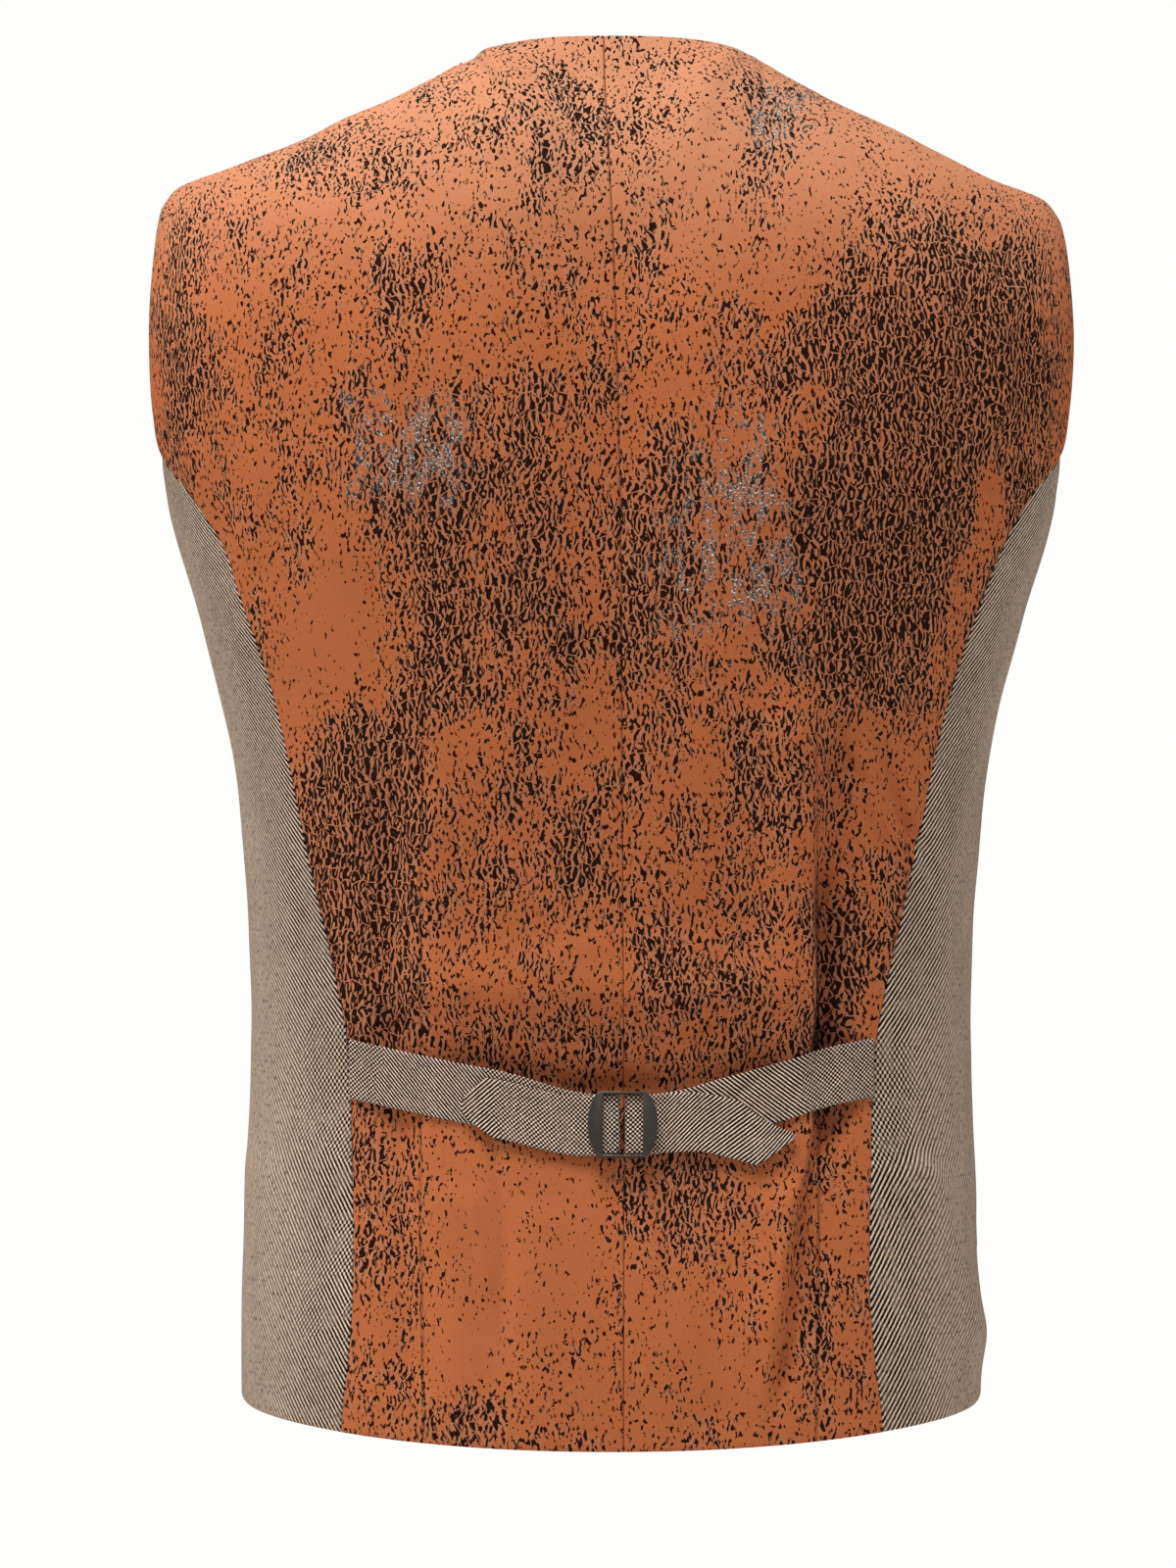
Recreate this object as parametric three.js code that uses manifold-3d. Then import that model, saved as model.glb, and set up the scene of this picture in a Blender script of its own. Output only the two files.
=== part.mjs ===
// A suit waistcoat, hollow, as it hangs on a general figure: two suede back halves with a seam down the
// middle, two wool fronts that wrap round the sides to the back, a cinch strap in two pieces with its metal
// buckle, and a front closed left over right with five buttons.
// Millimetres, +Z up. The wearer faces -Y and the wearer's left is +X. Heights in the tables are measured up
// from the hem at centre back, and the origin lies between the shoulder seams, where the shoulders carry it.
import * as THREE from 'three';
import { mergeVertices } from 'three/addons/utils/BufferGeometryUtils.js';
import Module from 'manifold-3d';

const wasm = await Module();
wasm.setup();

// Driving dimensions
const SHOULDER_HEIGHT = 574;
const NECK_HEIGHT = 609.5;
const RIGHT_SHOULDER_DROP = 5;
const NECK_HALF_WIDTH = 66;
const NECK_BACK_DEPTH = 60;
const SHOULDER_SEAM_DEPTH = -12;
const SHOULDER_ROUNDING = 88;
const BACK_WALL = 1.8;
const FRONT_WALL = 2.0;
const SEAM_GAP = 0.3;
const BACK_SQUARENESS = 2.5;
const FRONT_SQUARENESS = 2.35;
const FRONT_OVERLAP = 18;
const CLEARANCE = 0.35;

// The cloth's run from the body over to the shoulder seam: how far each end of the curve holds its direction,
// as a share of its span, its length over that span, and how it leans in at the nape and on the shoulder.
const OVER_SHOULDER = { reach: 0.38, slack: 1.08, napeLean: 0.96, tipLean: -0.24, napeEnds: 8, tipStarts: 72 };
const NECK_DROP_POWER = 6;
const SLOPE_STEP = 4;
const NEAR = { across: 0.5, up: 2 };

// Half width of the figure, and how far its back and front stand from the side line.
const FIGURE = [
  { height: -60, halfWidth: 163.5, back: 114, front: 115 },
  { height: 0, halfWidth: 163.5, back: 112, front: 116 },
  { height: 60, halfWidth: 163.5, back: 106, front: 117 },
  { height: 110, halfWidth: 162, back: 98, front: 117 },
  { height: 150, halfWidth: 160, back: 92, front: 116 },
  { height: 190, halfWidth: 159.8, back: 94, front: 117 },
  { height: 240, halfWidth: 161.8, back: 100, front: 121 },
  { height: 300, halfWidth: 168.3, back: 108, front: 128 },
  { height: 356, halfWidth: 181.8, back: 114.5, front: 133 },
  { height: 390, halfWidth: 192, back: 117.5, front: 134.5 },
  { height: 428, halfWidth: 203.5, back: 119.5, front: 133.5 },
  { height: 480, halfWidth: 211, back: 118.5, front: 125 },
  { height: 530, halfWidth: 212, back: 110, front: 110 },
  { height: 600, halfWidth: 212, back: 92, front: 84 },
];

// The seam down the middle of the back drifts a little to one side of the figure's centre.
const CENTRE_SEAM = [
  { height: -20, x: -5 },
  { height: 140, x: -5.2 },
  { height: 300, x: -4.4 },
  { height: 400, x: -3.6 },
  { height: 500, x: -1.2 },
  { height: 560, x: 1.4 },
  { height: 613, x: 3.4 },
];

// Outer edge of a back half: the seam to the front piece up to the armhole, and the armhole edge above it.
const BACK_EDGE = [
  { height: -10, x: 117.5 },
  { height: 18, x: 115.5 },
  { height: 35, x: 113.4 },
  { height: 70, x: 111.2 },
  { height: 120, x: 112 },
  { height: 170, x: 114 },
  { height: 205, x: 120.5 },
  { height: 256, x: 132 },
  { height: 307, x: 142.5 },
  { height: 341, x: 152 },
  { height: 376, x: 164.5 },
  { height: 393, x: 172 },
  { height: 410, x: 183 },
  { height: 428, x: 196.5 },
  { height: 446, x: 200.5 },
  { height: 464, x: 202 },
  { height: 482, x: 202.2 },
  { height: 560, x: 200 },
];
const ARMHOLE_CORNER = 428;

// Height of the shoulder line, from the neck point to the shoulder tip.
const SHOULDER_LINE = [
  { x: 66, height: 601.5 },
  { x: 74, height: 596.3 },
  { x: 84, height: 591 },
  { x: 99, height: 583.3 },
  { x: 117, height: 575.9 },
  { x: 134, height: 568 },
  { x: 152, height: 561.4 },
  { x: 169, height: 555.4 },
  { x: 184, height: 551 },
  { x: 193, height: 547 },
  { x: 198.5, height: 540 },
];

// Line on the front piece that rises to the front of the armhole and then follows the armhole's front edge.
const ARMHOLE_FRONT = [
  { height: -60, x: 128 },
  { height: 60, x: 128 },
  { height: 180, x: 127 },
  { height: 260, x: 135 },
  { height: 320, x: 149 },
  { height: 356, x: 164 },
  { height: 374, x: 168 },
  { height: 400, x: 166.5 },
  { height: 430, x: 165 },
  { height: 470, x: 167.5 },
];

// Front edge: straight down past the centre, and the neckline above it.
const FRONT_EDGE = [
  { height: -60, x: -FRONT_OVERLAP },
  { height: 300, x: -FRONT_OVERLAP },
  { height: 318, x: -17.6 },
  { height: 332, x: -11 },
  { height: 350, x: -1 },
  { height: 380, x: 12 },
  { height: 430, x: 30 },
  { height: 480, x: 44.5 },
  { height: 530, x: 55.5 },
  { height: 600, x: 66 },
];

// Height of the hem, of the armhole's lower edge across the side, and of the hem across the front.
const SIDE_HEM = [
  { along: 0, height: 6 },
  { along: 0.3, height: 11.5 },
  { along: 0.6, height: 17 },
  { along: 0.8, height: 14 },
  { along: 1, height: 8 },
];
const ARMHOLE_BOTTOM = [
  { along: 0, height: 428 },
  { along: 0.13, height: 417 },
  { along: 0.26, height: 404.5 },
  { along: 0.4, height: 387 },
  { along: 0.54, height: 367 },
  { along: 0.66, height: 356 },
  { along: 0.77, height: 352.5 },
  { along: 0.89, height: 357 },
  { along: 1, height: 371 },
];
const FRONT_HEM = [
  { x: -FRONT_OVERLAP, height: 34 },
  { x: -6, height: 22 },
  { x: 18, height: -1 },
  { x: 36, height: -18 },
  { x: 46, height: -22.5 },
  { x: 58, height: -21 },
  { x: 90, height: -9 },
  { x: 128, height: 8 },
];
const CHEST_LINE = 358;
const CHEST_RISE_SHARE = 0.6;

// The back's hem rises away from the centre seam, and the under front drops behind the upper one at the lap.
const BACK_HEM = { rise: 6, at: 117 };
const LAP = { drop: 2.7, full: 30, gone: 62, fullBelow: 330, goneAbove: 430 };

// Folds of the cloth: ridges stand out and troughs go in, along a line from a start to an end on one face.
const FOLDS = [
  { face: 'back', x0: -76, z0: 300, x1: -80, z1: 168, width: 11, depth: 5.5 },
  { face: 'back', x0: -97, z0: 290, x1: -96, z1: 160, width: 8, depth: -7 },
  { face: 'back', x0: -78, z0: 135, x1: -68, z1: 60, width: 10, depth: 4.5 },
  { face: 'back', x0: -94, z0: 140, x1: -84, z1: 62, width: 8, depth: -5 },
  { face: 'back', x0: 76, z0: 270, x1: 79, z1: 172, width: 12, depth: 3 },
  { face: 'back', x0: 95, z0: 270, x1: 94, z1: 165, width: 9, depth: -4 },
  { face: 'back', x0: 70, z0: 128, x1: 66, z1: 25, width: 12, depth: 2.5 },
  { face: 'back', x0: 90, z0: 140, x1: 86, z1: 40, width: 9, depth: -3 },
  { face: 'back', x0: 28, z0: 122, x1: 36, z1: 10, width: 14, depth: 2 },
  { face: 'back', x0: -38, z0: 122, x1: -44, z1: 20, width: 13, depth: -2 },
  { face: 'back', x0: -60, z0: 198, x1: 62, z1: 196, width: 20, depth: 3.5 },
  { face: 'back', x0: -70, z0: 176, x1: 80, z1: 180, width: 12, depth: -2 },
  { face: 'back', x0: -122, z0: 150, x1: -156, z1: 45, width: 10, depth: 3 },
  { face: 'back', x0: -128, z0: 560, x1: -176, z1: 528, width: 9, depth: 2 },
  { face: 'back', x0: -118, z0: 545, x1: -168, z1: 512, width: 8, depth: -2 },
  { face: 'back', x0: 150, z0: 150, x1: 152, z1: 40, width: 9, depth: 2 },
  { face: 'front', x0: 70, z0: 250, x1: 74, z1: 120, width: 14, depth: -3 },
  { face: 'front', x0: -70, z0: 250, x1: -74, z1: 120, width: 14, depth: -3 },
  { face: 'front', x0: 150, z0: 345, x1: 120, z1: 290, width: 10, depth: 2.5 },
  { face: 'front', x0: -150, z0: 345, x1: -120, z1: 290, width: 10, depth: 2.5 },
];
const FOLD_FADE = 16;
const SHOULDER_BLADES = { x: 88, height: 430, reach: 62, depth: 5 };
const SPINE = { depth: 3, reach: 26, starts: 180, full: 300, fades: 480, ends: 560 };

// Cinch strap: the height of its middle across the back, and half its width there.
const STRAP_WALL = 1.4;
const STRAP_MIDDLE = [
  { x: -112, height: 161.8, half: 12.6 },
  { x: -92, height: 158, half: 12.8 },
  { x: -74, height: 152.4, half: 12.8 },
  { x: -50, height: 146, half: 12.8 },
  { x: -26, height: 139.5, half: 12.7 },
  { x: -5, height: 137.8, half: 12.6 },
  { x: 16, height: 139.6, half: 12.6 },
  { x: 44, height: 147.5, half: 12.8 },
  { x: 74, height: 153.4, half: 12.8 },
  { x: 113, height: 161.4, half: 12.8 },
];
const STRAP_HOLD = { above: 24, below: 34, fade: 14 };

// Each strap turns round its own bar of the buckle and its tail lies back on it, sewn down. A tail ends in a
// point: the tables give where it ends at each place across it, from its lower edge at -1 to its upper edge at
// 1, and how far its middle sinks below the strap's.
const LEFT_STRAP = {
  side: 1,
  seamX: 112.6,
  end: [
    { across: -1, x: 50 },
    { across: -0.5, x: 61.5 },
    { across: 0, x: 64 },
    { across: 0.5, x: 59.5 },
    { across: 1, x: 54 },
  ],
  sink: [
    { x: 2, drop: 0 },
    { x: 16, drop: 2 },
    { x: 31, drop: 3.3 },
    { x: 64, drop: 4.4 },
  ],
};
const RIGHT_STRAP = {
  side: -1,
  seamX: -112.6,
  end: [
    { across: -1, x: -61.5 },
    { across: -0.5, x: -71.6 },
    { across: 0, x: -76.6 },
    { across: 0.5, x: -65.7 },
    { across: 1, x: -55 },
  ],
  sink: [
    { x: -78, drop: 19 },
    { x: -70, drop: 18 },
    { x: -62, drop: 15.8 },
    { x: -54, drop: 11.6 },
    { x: -46, drop: 7.4 },
    { x: -37, drop: 3 },
    { x: -26, drop: 0.6 },
    { x: -14, drop: 0 },
  ],
};
const STRAP_STEPS = { run: 22, bend: 6, tail: 16, across: 4 };
const LOOP = { reach: 4.2, fade: 9 };
const LAYER_LIFT = STRAP_WALL + CLEARANCE;
const LOW_LIFT = CLEARANCE + STRAP_WALL / 2;

// Cinch buckle: two crescent bows joined by rails, and a bar for each strap. Lifts are heights off the back.
const BUCKLE = {
  x: -4.6,
  height: 137.8,
  barSpacing: 6.8,
  barRadius: 0.7,
  barSides: 12,
  loopHeight: 3.5,
  bowStarts: 8.5,
  bowWidth: 6.6,
  bowTip: 1.8,
  bowThickness: 1.4,
  bowBevel: 0.35,
  bowClearance: 0.75,
  innerHeight: 26.2,
  rail: 1.2,
  railReach: 9.9,
  railDrop: 0.6,
};
const LOOP_RADIUS = BUCKLE.loopHeight / 2;

// Near its buckle the strap is flat across its width and stands a little further off the back.
const BUCKLE_REACH = { from: 13, to: 30, stand: 0.55 };

// Buttons, with four holes in a dish inside a raised rim
const BUTTON = {
  radius: 7.6,
  thickness: 2.8,
  backBevel: 0.9,
  frontBevel: 0.6,
  rim: 1.5,
  dishSlope: 0.8,
  dish: 0.7,
  sides: 20,
  holeRadius: 0.9,
  holeOffset: 1.7,
  holeSides: 6,
};
const BUTTON_HEIGHTS = [306, 245, 184, 123, 62];

// How finely the panels are divided
const LOWER_ROWS = 24;
const BACK_COLUMNS = { neck: 5, shoulder: 12 };
const FRONT_COLUMNS = { side: 12, front: 12 };
const UPPER_ROWS = 13;
const SIDE_SAMPLES = 48;

// Rows are closer together around the strap, and columns where a panel turns round the side.
const STRAP_ROWS = { share: 0.41, reach: 0.13, closeness: 0.62 };
const BACK_TURN = 1.26;
const FRONT_TURN = 1.2;

// Rough length of a panel across and up, over which half a seam gap is taken off its ends
const TRIM_LENGTH = { backSeam: 180, backEdge: 45, sideSeam: 120, shoulder: 150 };

// Interpolation through a table's rows, smooth at each of them.
function through(rows, input, output) {
  const slopes = rows.map((row, i) => {
    const before = rows[Math.max(i - 1, 0)];
    const after = rows[Math.min(i + 1, rows.length - 1)];
    return (after[output] - before[output]) / (after[input] - before[input]);
  });
  return (value) => {
    let i = 0;
    while (i < rows.length - 2 && value > rows[i + 1][input]) i += 1;
    const a = rows[i];
    const b = rows[i + 1];
    const span = b[input] - a[input];
    const t = THREE.MathUtils.clamp((value - a[input]) / span, 0, 1);
    const t2 = t * t;
    const t3 = t2 * t;
    return (
      a[output] * (2 * t3 - 3 * t2 + 1) +
      slopes[i] * span * (t3 - 2 * t2 + t) +
      b[output] * (3 * t2 - 2 * t3) +
      slopes[i + 1] * span * (t3 - t2)
    );
  };
}

const halfWidth = through(FIGURE, 'height', 'halfWidth');
const backDepth = through(FIGURE, 'height', 'back');
const frontDepth = through(FIGURE, 'height', 'front');
const centreSeam = through(CENTRE_SEAM, 'height', 'x');
const backEdge = through(BACK_EDGE, 'height', 'x');
const shoulderHeight = through(SHOULDER_LINE, 'x', 'height');
const armholeFront = through(ARMHOLE_FRONT, 'height', 'x');
const frontEdge = through(FRONT_EDGE, 'height', 'x');
const sideHem = through(SIDE_HEM, 'along', 'height');
const armholeBottom = through(ARMHOLE_BOTTOM, 'along', 'height');
const frontHem = through(FRONT_HEM, 'x', 'height');
const strapMiddle = through(STRAP_MIDDLE, 'x', 'height');
const strapHalf = through(STRAP_MIDDLE, 'x', 'half');
const { lerp, clamp, smoothstep: step } = THREE.MathUtils;
const SHOULDER_TIP = SHOULDER_LINE.at(-1).x;

// How far the figure stands from the side line at a place across it, on its back or its front.
function depthAt(face, x, height) {
  const squareness = face === 'back' ? BACK_SQUARENESS : FRONT_SQUARENESS;
  const share = Math.min(Math.abs(x) / halfWidth(height), 0.9999);
  const roundness = (1 - share ** squareness) ** (1 / squareness);
  return face === 'back' ? backDepth(height) * roundness : -frontDepth(height) * roundness;
}

function onFigure(face, x, height) {
  return new THREE.Vector3(x, depthAt(face, x, height), height);
}

// A cubic curve from the body up and over to the shoulder seam or the neck edge.
function overShoulder(start, rise, end, arrival, t) {
  const reach = start.distanceTo(end) * OVER_SHOULDER.reach;
  return new THREE.CubicBezierCurve3(
    start,
    start.clone().addScaledVector(rise, reach),
    end.clone().addScaledVector(arrival, -reach),
    end,
  ).getPoint(t);
}

// A column of the cloth: up the figure at its own place across, then over the shoulder to its top.
function column(face, xAt, bottom, top, arrival, share) {
  const turn = top.z - SHOULDER_ROUNDING;
  const start = onFigure(face, xAt(turn), turn);
  const straight = turn - bottom;
  const curved = start.distanceTo(top) * OVER_SHOULDER.slack;
  const far = share * (straight + curved);
  if (far <= straight) return onFigure(face, xAt(bottom + far), bottom + far);
  const below = onFigure(face, xAt(turn - SLOPE_STEP), turn - SLOPE_STEP);
  const rise = start.clone().sub(below).normalize();
  return overShoulder(start, rise, top, arrival, Math.min((far - straight) / curved, 1));
}

// Top of the back: round the neck edge to the neck point, then along the shoulder to its tip.
function backTop(side, along, neckShare) {
  const seamX = centreSeam(NECK_HEIGHT);
  if (along <= neckShare) {
    const from = Math.asin((side * seamX) / NECK_HALF_WIDTH);
    const turn = lerp(from, Math.PI / 2, along / neckShare);
    const depth = NECK_BACK_DEPTH - SHOULDER_SEAM_DEPTH;
    const drop = (NECK_HEIGHT - shoulderHeight(NECK_HALF_WIDTH)) * Math.sin(turn) ** NECK_DROP_POWER;
    return new THREE.Vector3(
      side * NECK_HALF_WIDTH * Math.sin(turn),
      SHOULDER_SEAM_DEPTH + depth * Math.cos(turn),
      NECK_HEIGHT - drop,
    );
  }
  return shoulderSeam(side, (along - neckShare) / (1 - neckShare));
}

// A place on the shoulder seam, from the neck point at 0 to the shoulder tip at 1.
function shoulderSeam(side, along) {
  const x = lerp(NECK_HALF_WIDTH, SHOULDER_TIP, along);
  const drop = side < 0 ? RIGHT_SHOULDER_DROP * step(x, 80, 180) : 0;
  return new THREE.Vector3(side * x, SHOULDER_SEAM_DEPTH, shoulderHeight(x) - drop);
}

// Direction in which the cloth arrives at its top: leaning in at the nape, nearly level on the shoulder.
function arrivalAt(face, x) {
  const { napeLean, tipLean, napeEnds, tipStarts } = OVER_SHOULDER;
  const lean = lerp(napeLean, tipLean, step(Math.abs(x), napeEnds, tipStarts));
  if (face === 'back') return new THREE.Vector3(0, -Math.cos(lean), Math.sin(lean));
  return new THREE.Vector3(0, Math.cos(tipLean), -Math.sin(tipLean));
}

// Folds, shoulder blades and the hollow of the spine, as a distance out of the figure.
function relief(point) {
  const face = point.y > 0 ? 'back' : 'front';
  let out = 0;
  for (const fold of FOLDS) {
    if (fold.face !== face) continue;
    const dx = fold.x1 - fold.x0;
    const dz = fold.z1 - fold.z0;
    const length = Math.hypot(dx, dz);
    const along = ((point.x - fold.x0) * dx + (point.z - fold.z0) * dz) / length ** 2;
    const off = Math.abs((point.x - fold.x0) * dz - (point.z - fold.z0) * dx) / length;
    const beyond = Math.max(-along, along - 1, 0) * length;
    out += fold.depth * Math.exp(-((off / fold.width) ** 2) - (beyond / FOLD_FADE) ** 2);
  }
  if (face === 'front') return out;
  const blades = SHOULDER_BLADES;
  const fromBlade = Math.hypot(Math.abs(point.x) - blades.x, point.z - blades.height);
  out += blades.depth * Math.exp(-((fromBlade / blades.reach) ** 2));
  const alongSpine = step(point.z, SPINE.starts, SPINE.full) * (1 - step(point.z, SPINE.fades, SPINE.ends));
  out -= SPINE.depth * Math.exp(-((point.x / SPINE.reach) ** 2)) * alongSpine;
  const fromStrap = point.z - strapMiddle(point.x);
  const hold = fromStrap > 0 ? STRAP_HOLD.above : STRAP_HOLD.below;
  const held = 1 - step(Math.abs(fromStrap), hold, hold + STRAP_HOLD.fade);
  return out > 0 ? out * (1 - held) : out;
}

// The surface of a piece, moved out by its relief, with the direction that points out of the cloth there.
function dressed(place, across, up, limits) {
  const nudge = 1e-3;
  const side = (value, offset, [low, high]) => clamp(value + offset, low, high);
  const here = place(across, up);
  const alongRow = place(side(across, nudge, limits.across), up).sub(
    place(side(across, -nudge, limits.across), up),
  );
  const alongColumn = place(across, side(up, nudge, limits.up)).sub(
    place(across, side(up, -nudge, limits.up)),
  );
  const outward = alongRow.cross(alongColumn).normalize().multiplyScalar(limits.facing);
  return { point: here.addScaledVector(outward, relief(here)), outward };
}

// A closed wall from a grid of cells: the outer face, an inner face one thickness below it, and its rim.
function wallOf(grid, thickness, facing, present = () => true) {
  const rows = grid.length;
  const columns = grid[0].length;
  const positions = [];
  grid.flat().forEach(({ point }) => positions.push(...point));
  grid.flat().forEach(({ point, outward }) => {
    positions.push(...point.clone().addScaledVector(outward, -thickness));
  });
  const inner = rows * columns;
  const at = (r, c) => r * columns + c;
  const faces = [];
  const quad = (a, b, c, d) => faces.push(a, b, c, a, c, d);
  const isCell = (r, c) => r >= 0 && c >= 0 && r < rows - 1 && c < columns - 1 && present(r, c);
  for (let r = 0; r < rows - 1; r += 1) {
    for (let c = 0; c < columns - 1; c += 1) {
      if (!isCell(r, c)) continue;
      const corners = [at(r, c), at(r, c + 1), at(r + 1, c + 1), at(r + 1, c)];
      quad(...corners);
      quad(...corners.map((i) => i + inner).reverse());
      const open = [!isCell(r - 1, c), !isCell(r, c + 1), !isCell(r + 1, c), !isCell(r, c - 1)];
      open.forEach((isOpen, k) => {
        const a = corners[k];
        const b = corners[(k + 1) % 4];
        if (isOpen) quad(b, a, a + inner, b + inner);
      });
    }
  }
  if (facing < 0) faces.reverse();
  const geometry = new THREE.BufferGeometry();
  geometry.setAttribute('position', new THREE.Float32BufferAttribute(positions, 3));
  geometry.setIndex(faces);
  const used = mergeVertices(geometry.toNonIndexed(), 1e-4);
  used.computeVertexNormals();
  return used;
}

// Steps from one number to another, with the ends drawn in by half a seam gap over a known length.
function steps(from, to, count, trimFrom, trimTo) {
  return Array.from({ length: count + 1 }, (_, i) => {
    if (i === 0) return from + trimFrom;
    if (i === count) return to - trimTo;
    return lerp(from, to, i / count);
  });
}

// Shares of the way up to the armhole, with rows closer together around the strap.
function lowerShares() {
  const weights = Array.from({ length: LOWER_ROWS }, (_, i) => {
    const from = ((i + 0.5) / LOWER_ROWS - STRAP_ROWS.share) / STRAP_ROWS.reach;
    return 1 - STRAP_ROWS.closeness * Math.exp(-(from ** 2));
  });
  const total = weights.reduce((sum, weight) => sum + weight, 0);
  let sum = 0;
  return [0, ...weights.map((weight) => (sum += weight) / total)].map((share) => Math.min(share, 1));
}

// Rows of a panel: up to the armhole from 0 to 1, and above it from 1 to 2.
function panelRows() {
  return [...lowerShares().slice(0, -1), ...steps(1, 2, UPPER_ROWS, 0, SEAM_GAP / 2 / TRIM_LENGTH.shoulder)];
}

// Spacing across a back half, closer where the cloth turns round the side.
const spread = (share) => Math.sin(share * BACK_TURN) / Math.sin(BACK_TURN);

// The share of a back half's columns that ends at the neck point.
function neckShareOf(side) {
  const seamX = side * centreSeam(NECK_HEIGHT);
  const reach = (NECK_HALF_WIDTH - seamX) / (SHOULDER_TIP - seamX);
  return Math.asin(reach * Math.sin(BACK_TURN)) / BACK_TURN;
}

// A half of the back: across 0 to 1 from the centre seam out, up 0 to 1 to the armhole and 1 to 2 above it.
function backPlace(side, neckShare) {
  return (share, up) => {
    const xAt = (height) => lerp(centreSeam(height), side * backEdge(height), spread(share));
    if (up <= 1) {
      const hem = BACK_HEM.rise * (xAt(0) / BACK_HEM.at) ** 2;
      const height = lerp(hem, ARMHOLE_CORNER, up);
      return onFigure('back', xAt(height), height);
    }
    const top = backTop(side, share, neckShare);
    return column('back', xAt, ARMHOLE_CORNER, top, arrivalAt('back', top.x), up - 1);
  };
}

function backHalf(side) {
  const neckShare = neckShareOf(side);
  const place = backPlace(side, neckShare);
  const halfGap = SEAM_GAP / 2;
  const acrossSteps = [
    ...steps(0, neckShare, BACK_COLUMNS.neck, halfGap / TRIM_LENGTH.backSeam, 0).slice(0, -1),
    ...steps(neckShare, 1, BACK_COLUMNS.shoulder, 0, halfGap / TRIM_LENGTH.backEdge),
  ];
  const limits = { across: [0, 1], up: [0, 2], facing: -side };
  const grid = panelRows().map((up) => acrossSteps.map((across) => dressed(place, across, up, limits)));
  return wallOf(grid, BACK_WALL, -side);
}

// A place on the level section of the figure, some share of the way round from the back seam to the front.
function roundSide(side, height, share) {
  const radius = halfWidth(height);
  const backTurn = Math.asin(Math.min(backEdge(height) / radius, 1) ** (BACK_SQUARENESS / 2));
  const frontTurn = Math.asin(Math.min(armholeFront(height) / radius, 1) ** (FRONT_SQUARENESS / 2));
  const count = SIDE_SAMPLES;
  const points = [];
  for (let i = 0; i <= count; i += 1) {
    const turn = lerp(backTurn, Math.PI - frontTurn, i / count);
    const face = turn < Math.PI / 2 ? 'back' : 'front';
    const squareness = face === 'back' ? BACK_SQUARENESS : FRONT_SQUARENESS;
    const depth = face === 'back' ? backDepth(height) : -frontDepth(height);
    points.push(
      new THREE.Vector3(
        side * radius * Math.sin(turn) ** (2 / squareness),
        depth * Math.abs(Math.cos(turn)) ** (2 / squareness),
        height,
      ),
    );
  }
  const lengths = [0];
  for (let i = 1; i <= count; i += 1) {
    lengths.push(lengths[i - 1] + points[i].distanceTo(points[i - 1]));
  }
  const wanted = share * lengths[count];
  let i = 1;
  while (i < count && lengths[i] < wanted) i += 1;
  const part = (wanted - lengths[i - 1]) / (lengths[i] - lengths[i - 1]);
  return points[i - 1].clone().lerp(points[i], part);
}

// Spacing across the front, closer where the cloth turns round the side.
const gather = (share) => 1 - Math.sin((1 - share) * FRONT_TURN) / Math.sin(FRONT_TURN);

// A front piece: across 0 to 1 is the side, from the back seam to the armhole line, and 1 to 2 the front.
function frontPlace(side) {
  return (across, up) => {
    if (across < 1) {
      const height = lerp(sideHem(across), armholeBottom(across), up);
      return roundSide(side, height, across);
    }
    const share = across - 1;
    const xAt = (height) => side * lerp(armholeFront(height), frontEdge(height), gather(share));
    const chest = lerp(armholeBottom(1), CHEST_LINE, step(share, 0, CHEST_RISE_SHARE));
    if (up <= 1) {
      const height = lerp(frontHem(side * xAt(0)), chest, up);
      return onFigure('front', xAt(height), height);
    }
    const top = shoulderSeam(side, 1 - share);
    return column('front', xAt, chest, top, arrivalAt('front', top.x), up - 1);
  };
}

// The under front drops behind the upper one where they lap at the centre.
function underLap(place) {
  return (across, up) => {
    const point = place(across, up);
    if (across < 1) return point;
    const nearEdge = 1 - step(Math.abs(point.x), LAP.full, LAP.gone);
    const belowNeck = 1 - step(point.z, LAP.fullBelow, LAP.goneAbove);
    point.y += LAP.drop * nearEdge * belowNeck;
    return point;
  };
}

// The grid's cells beside the armhole are left out, and what is measured there stays within each block.
function frontPiece(side, isUnder) {
  const place = isUnder ? underLap(frontPlace(side)) : frontPlace(side);
  const acrossSteps = [
    ...steps(0, 1, FRONT_COLUMNS.side, SEAM_GAP / 2 / TRIM_LENGTH.sideSeam, 0).slice(0, -1),
    ...steps(1, 2, FRONT_COLUMNS.front, 0, 0),
  ];
  const grid = panelRows().map((up) =>
    acrossSteps.map((across) => {
      const limits = {
        across: across < 1 ? [0, 0.9999] : [1, 2],
        up: up <= 1 ? [0, 1] : [1, 2],
        facing: -side,
      };
      return dressed(place, across, across < 1 ? Math.min(up, 1) : up, limits);
    }),
  );
  const present = (r, c) => r < LOWER_ROWS || c >= FRONT_COLUMNS.side;
  return wallOf(grid, FRONT_WALL, -side, present);
}

// A place some lift out from a face of the figure, with the directions out of it and up it.
function offFigure(face, x, height, lift) {
  const { across, up } = NEAR;
  const level = onFigure(face, x + across, height).sub(onFigure(face, x - across, height));
  const upward = onFigure(face, x, height + up).sub(onFigure(face, x, height - up)).normalize();
  const outward = upward.clone().cross(level).normalize().multiplyScalar(face === 'back' ? 1 : -1);
  return { point: onFigure(face, x, height).addScaledVector(outward, lift), outward, upward };
}

const nearBuckle = (x) => 1 - step(Math.abs(x - BUCKLE.x), BUCKLE_REACH.from, BUCKLE_REACH.to);

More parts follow.
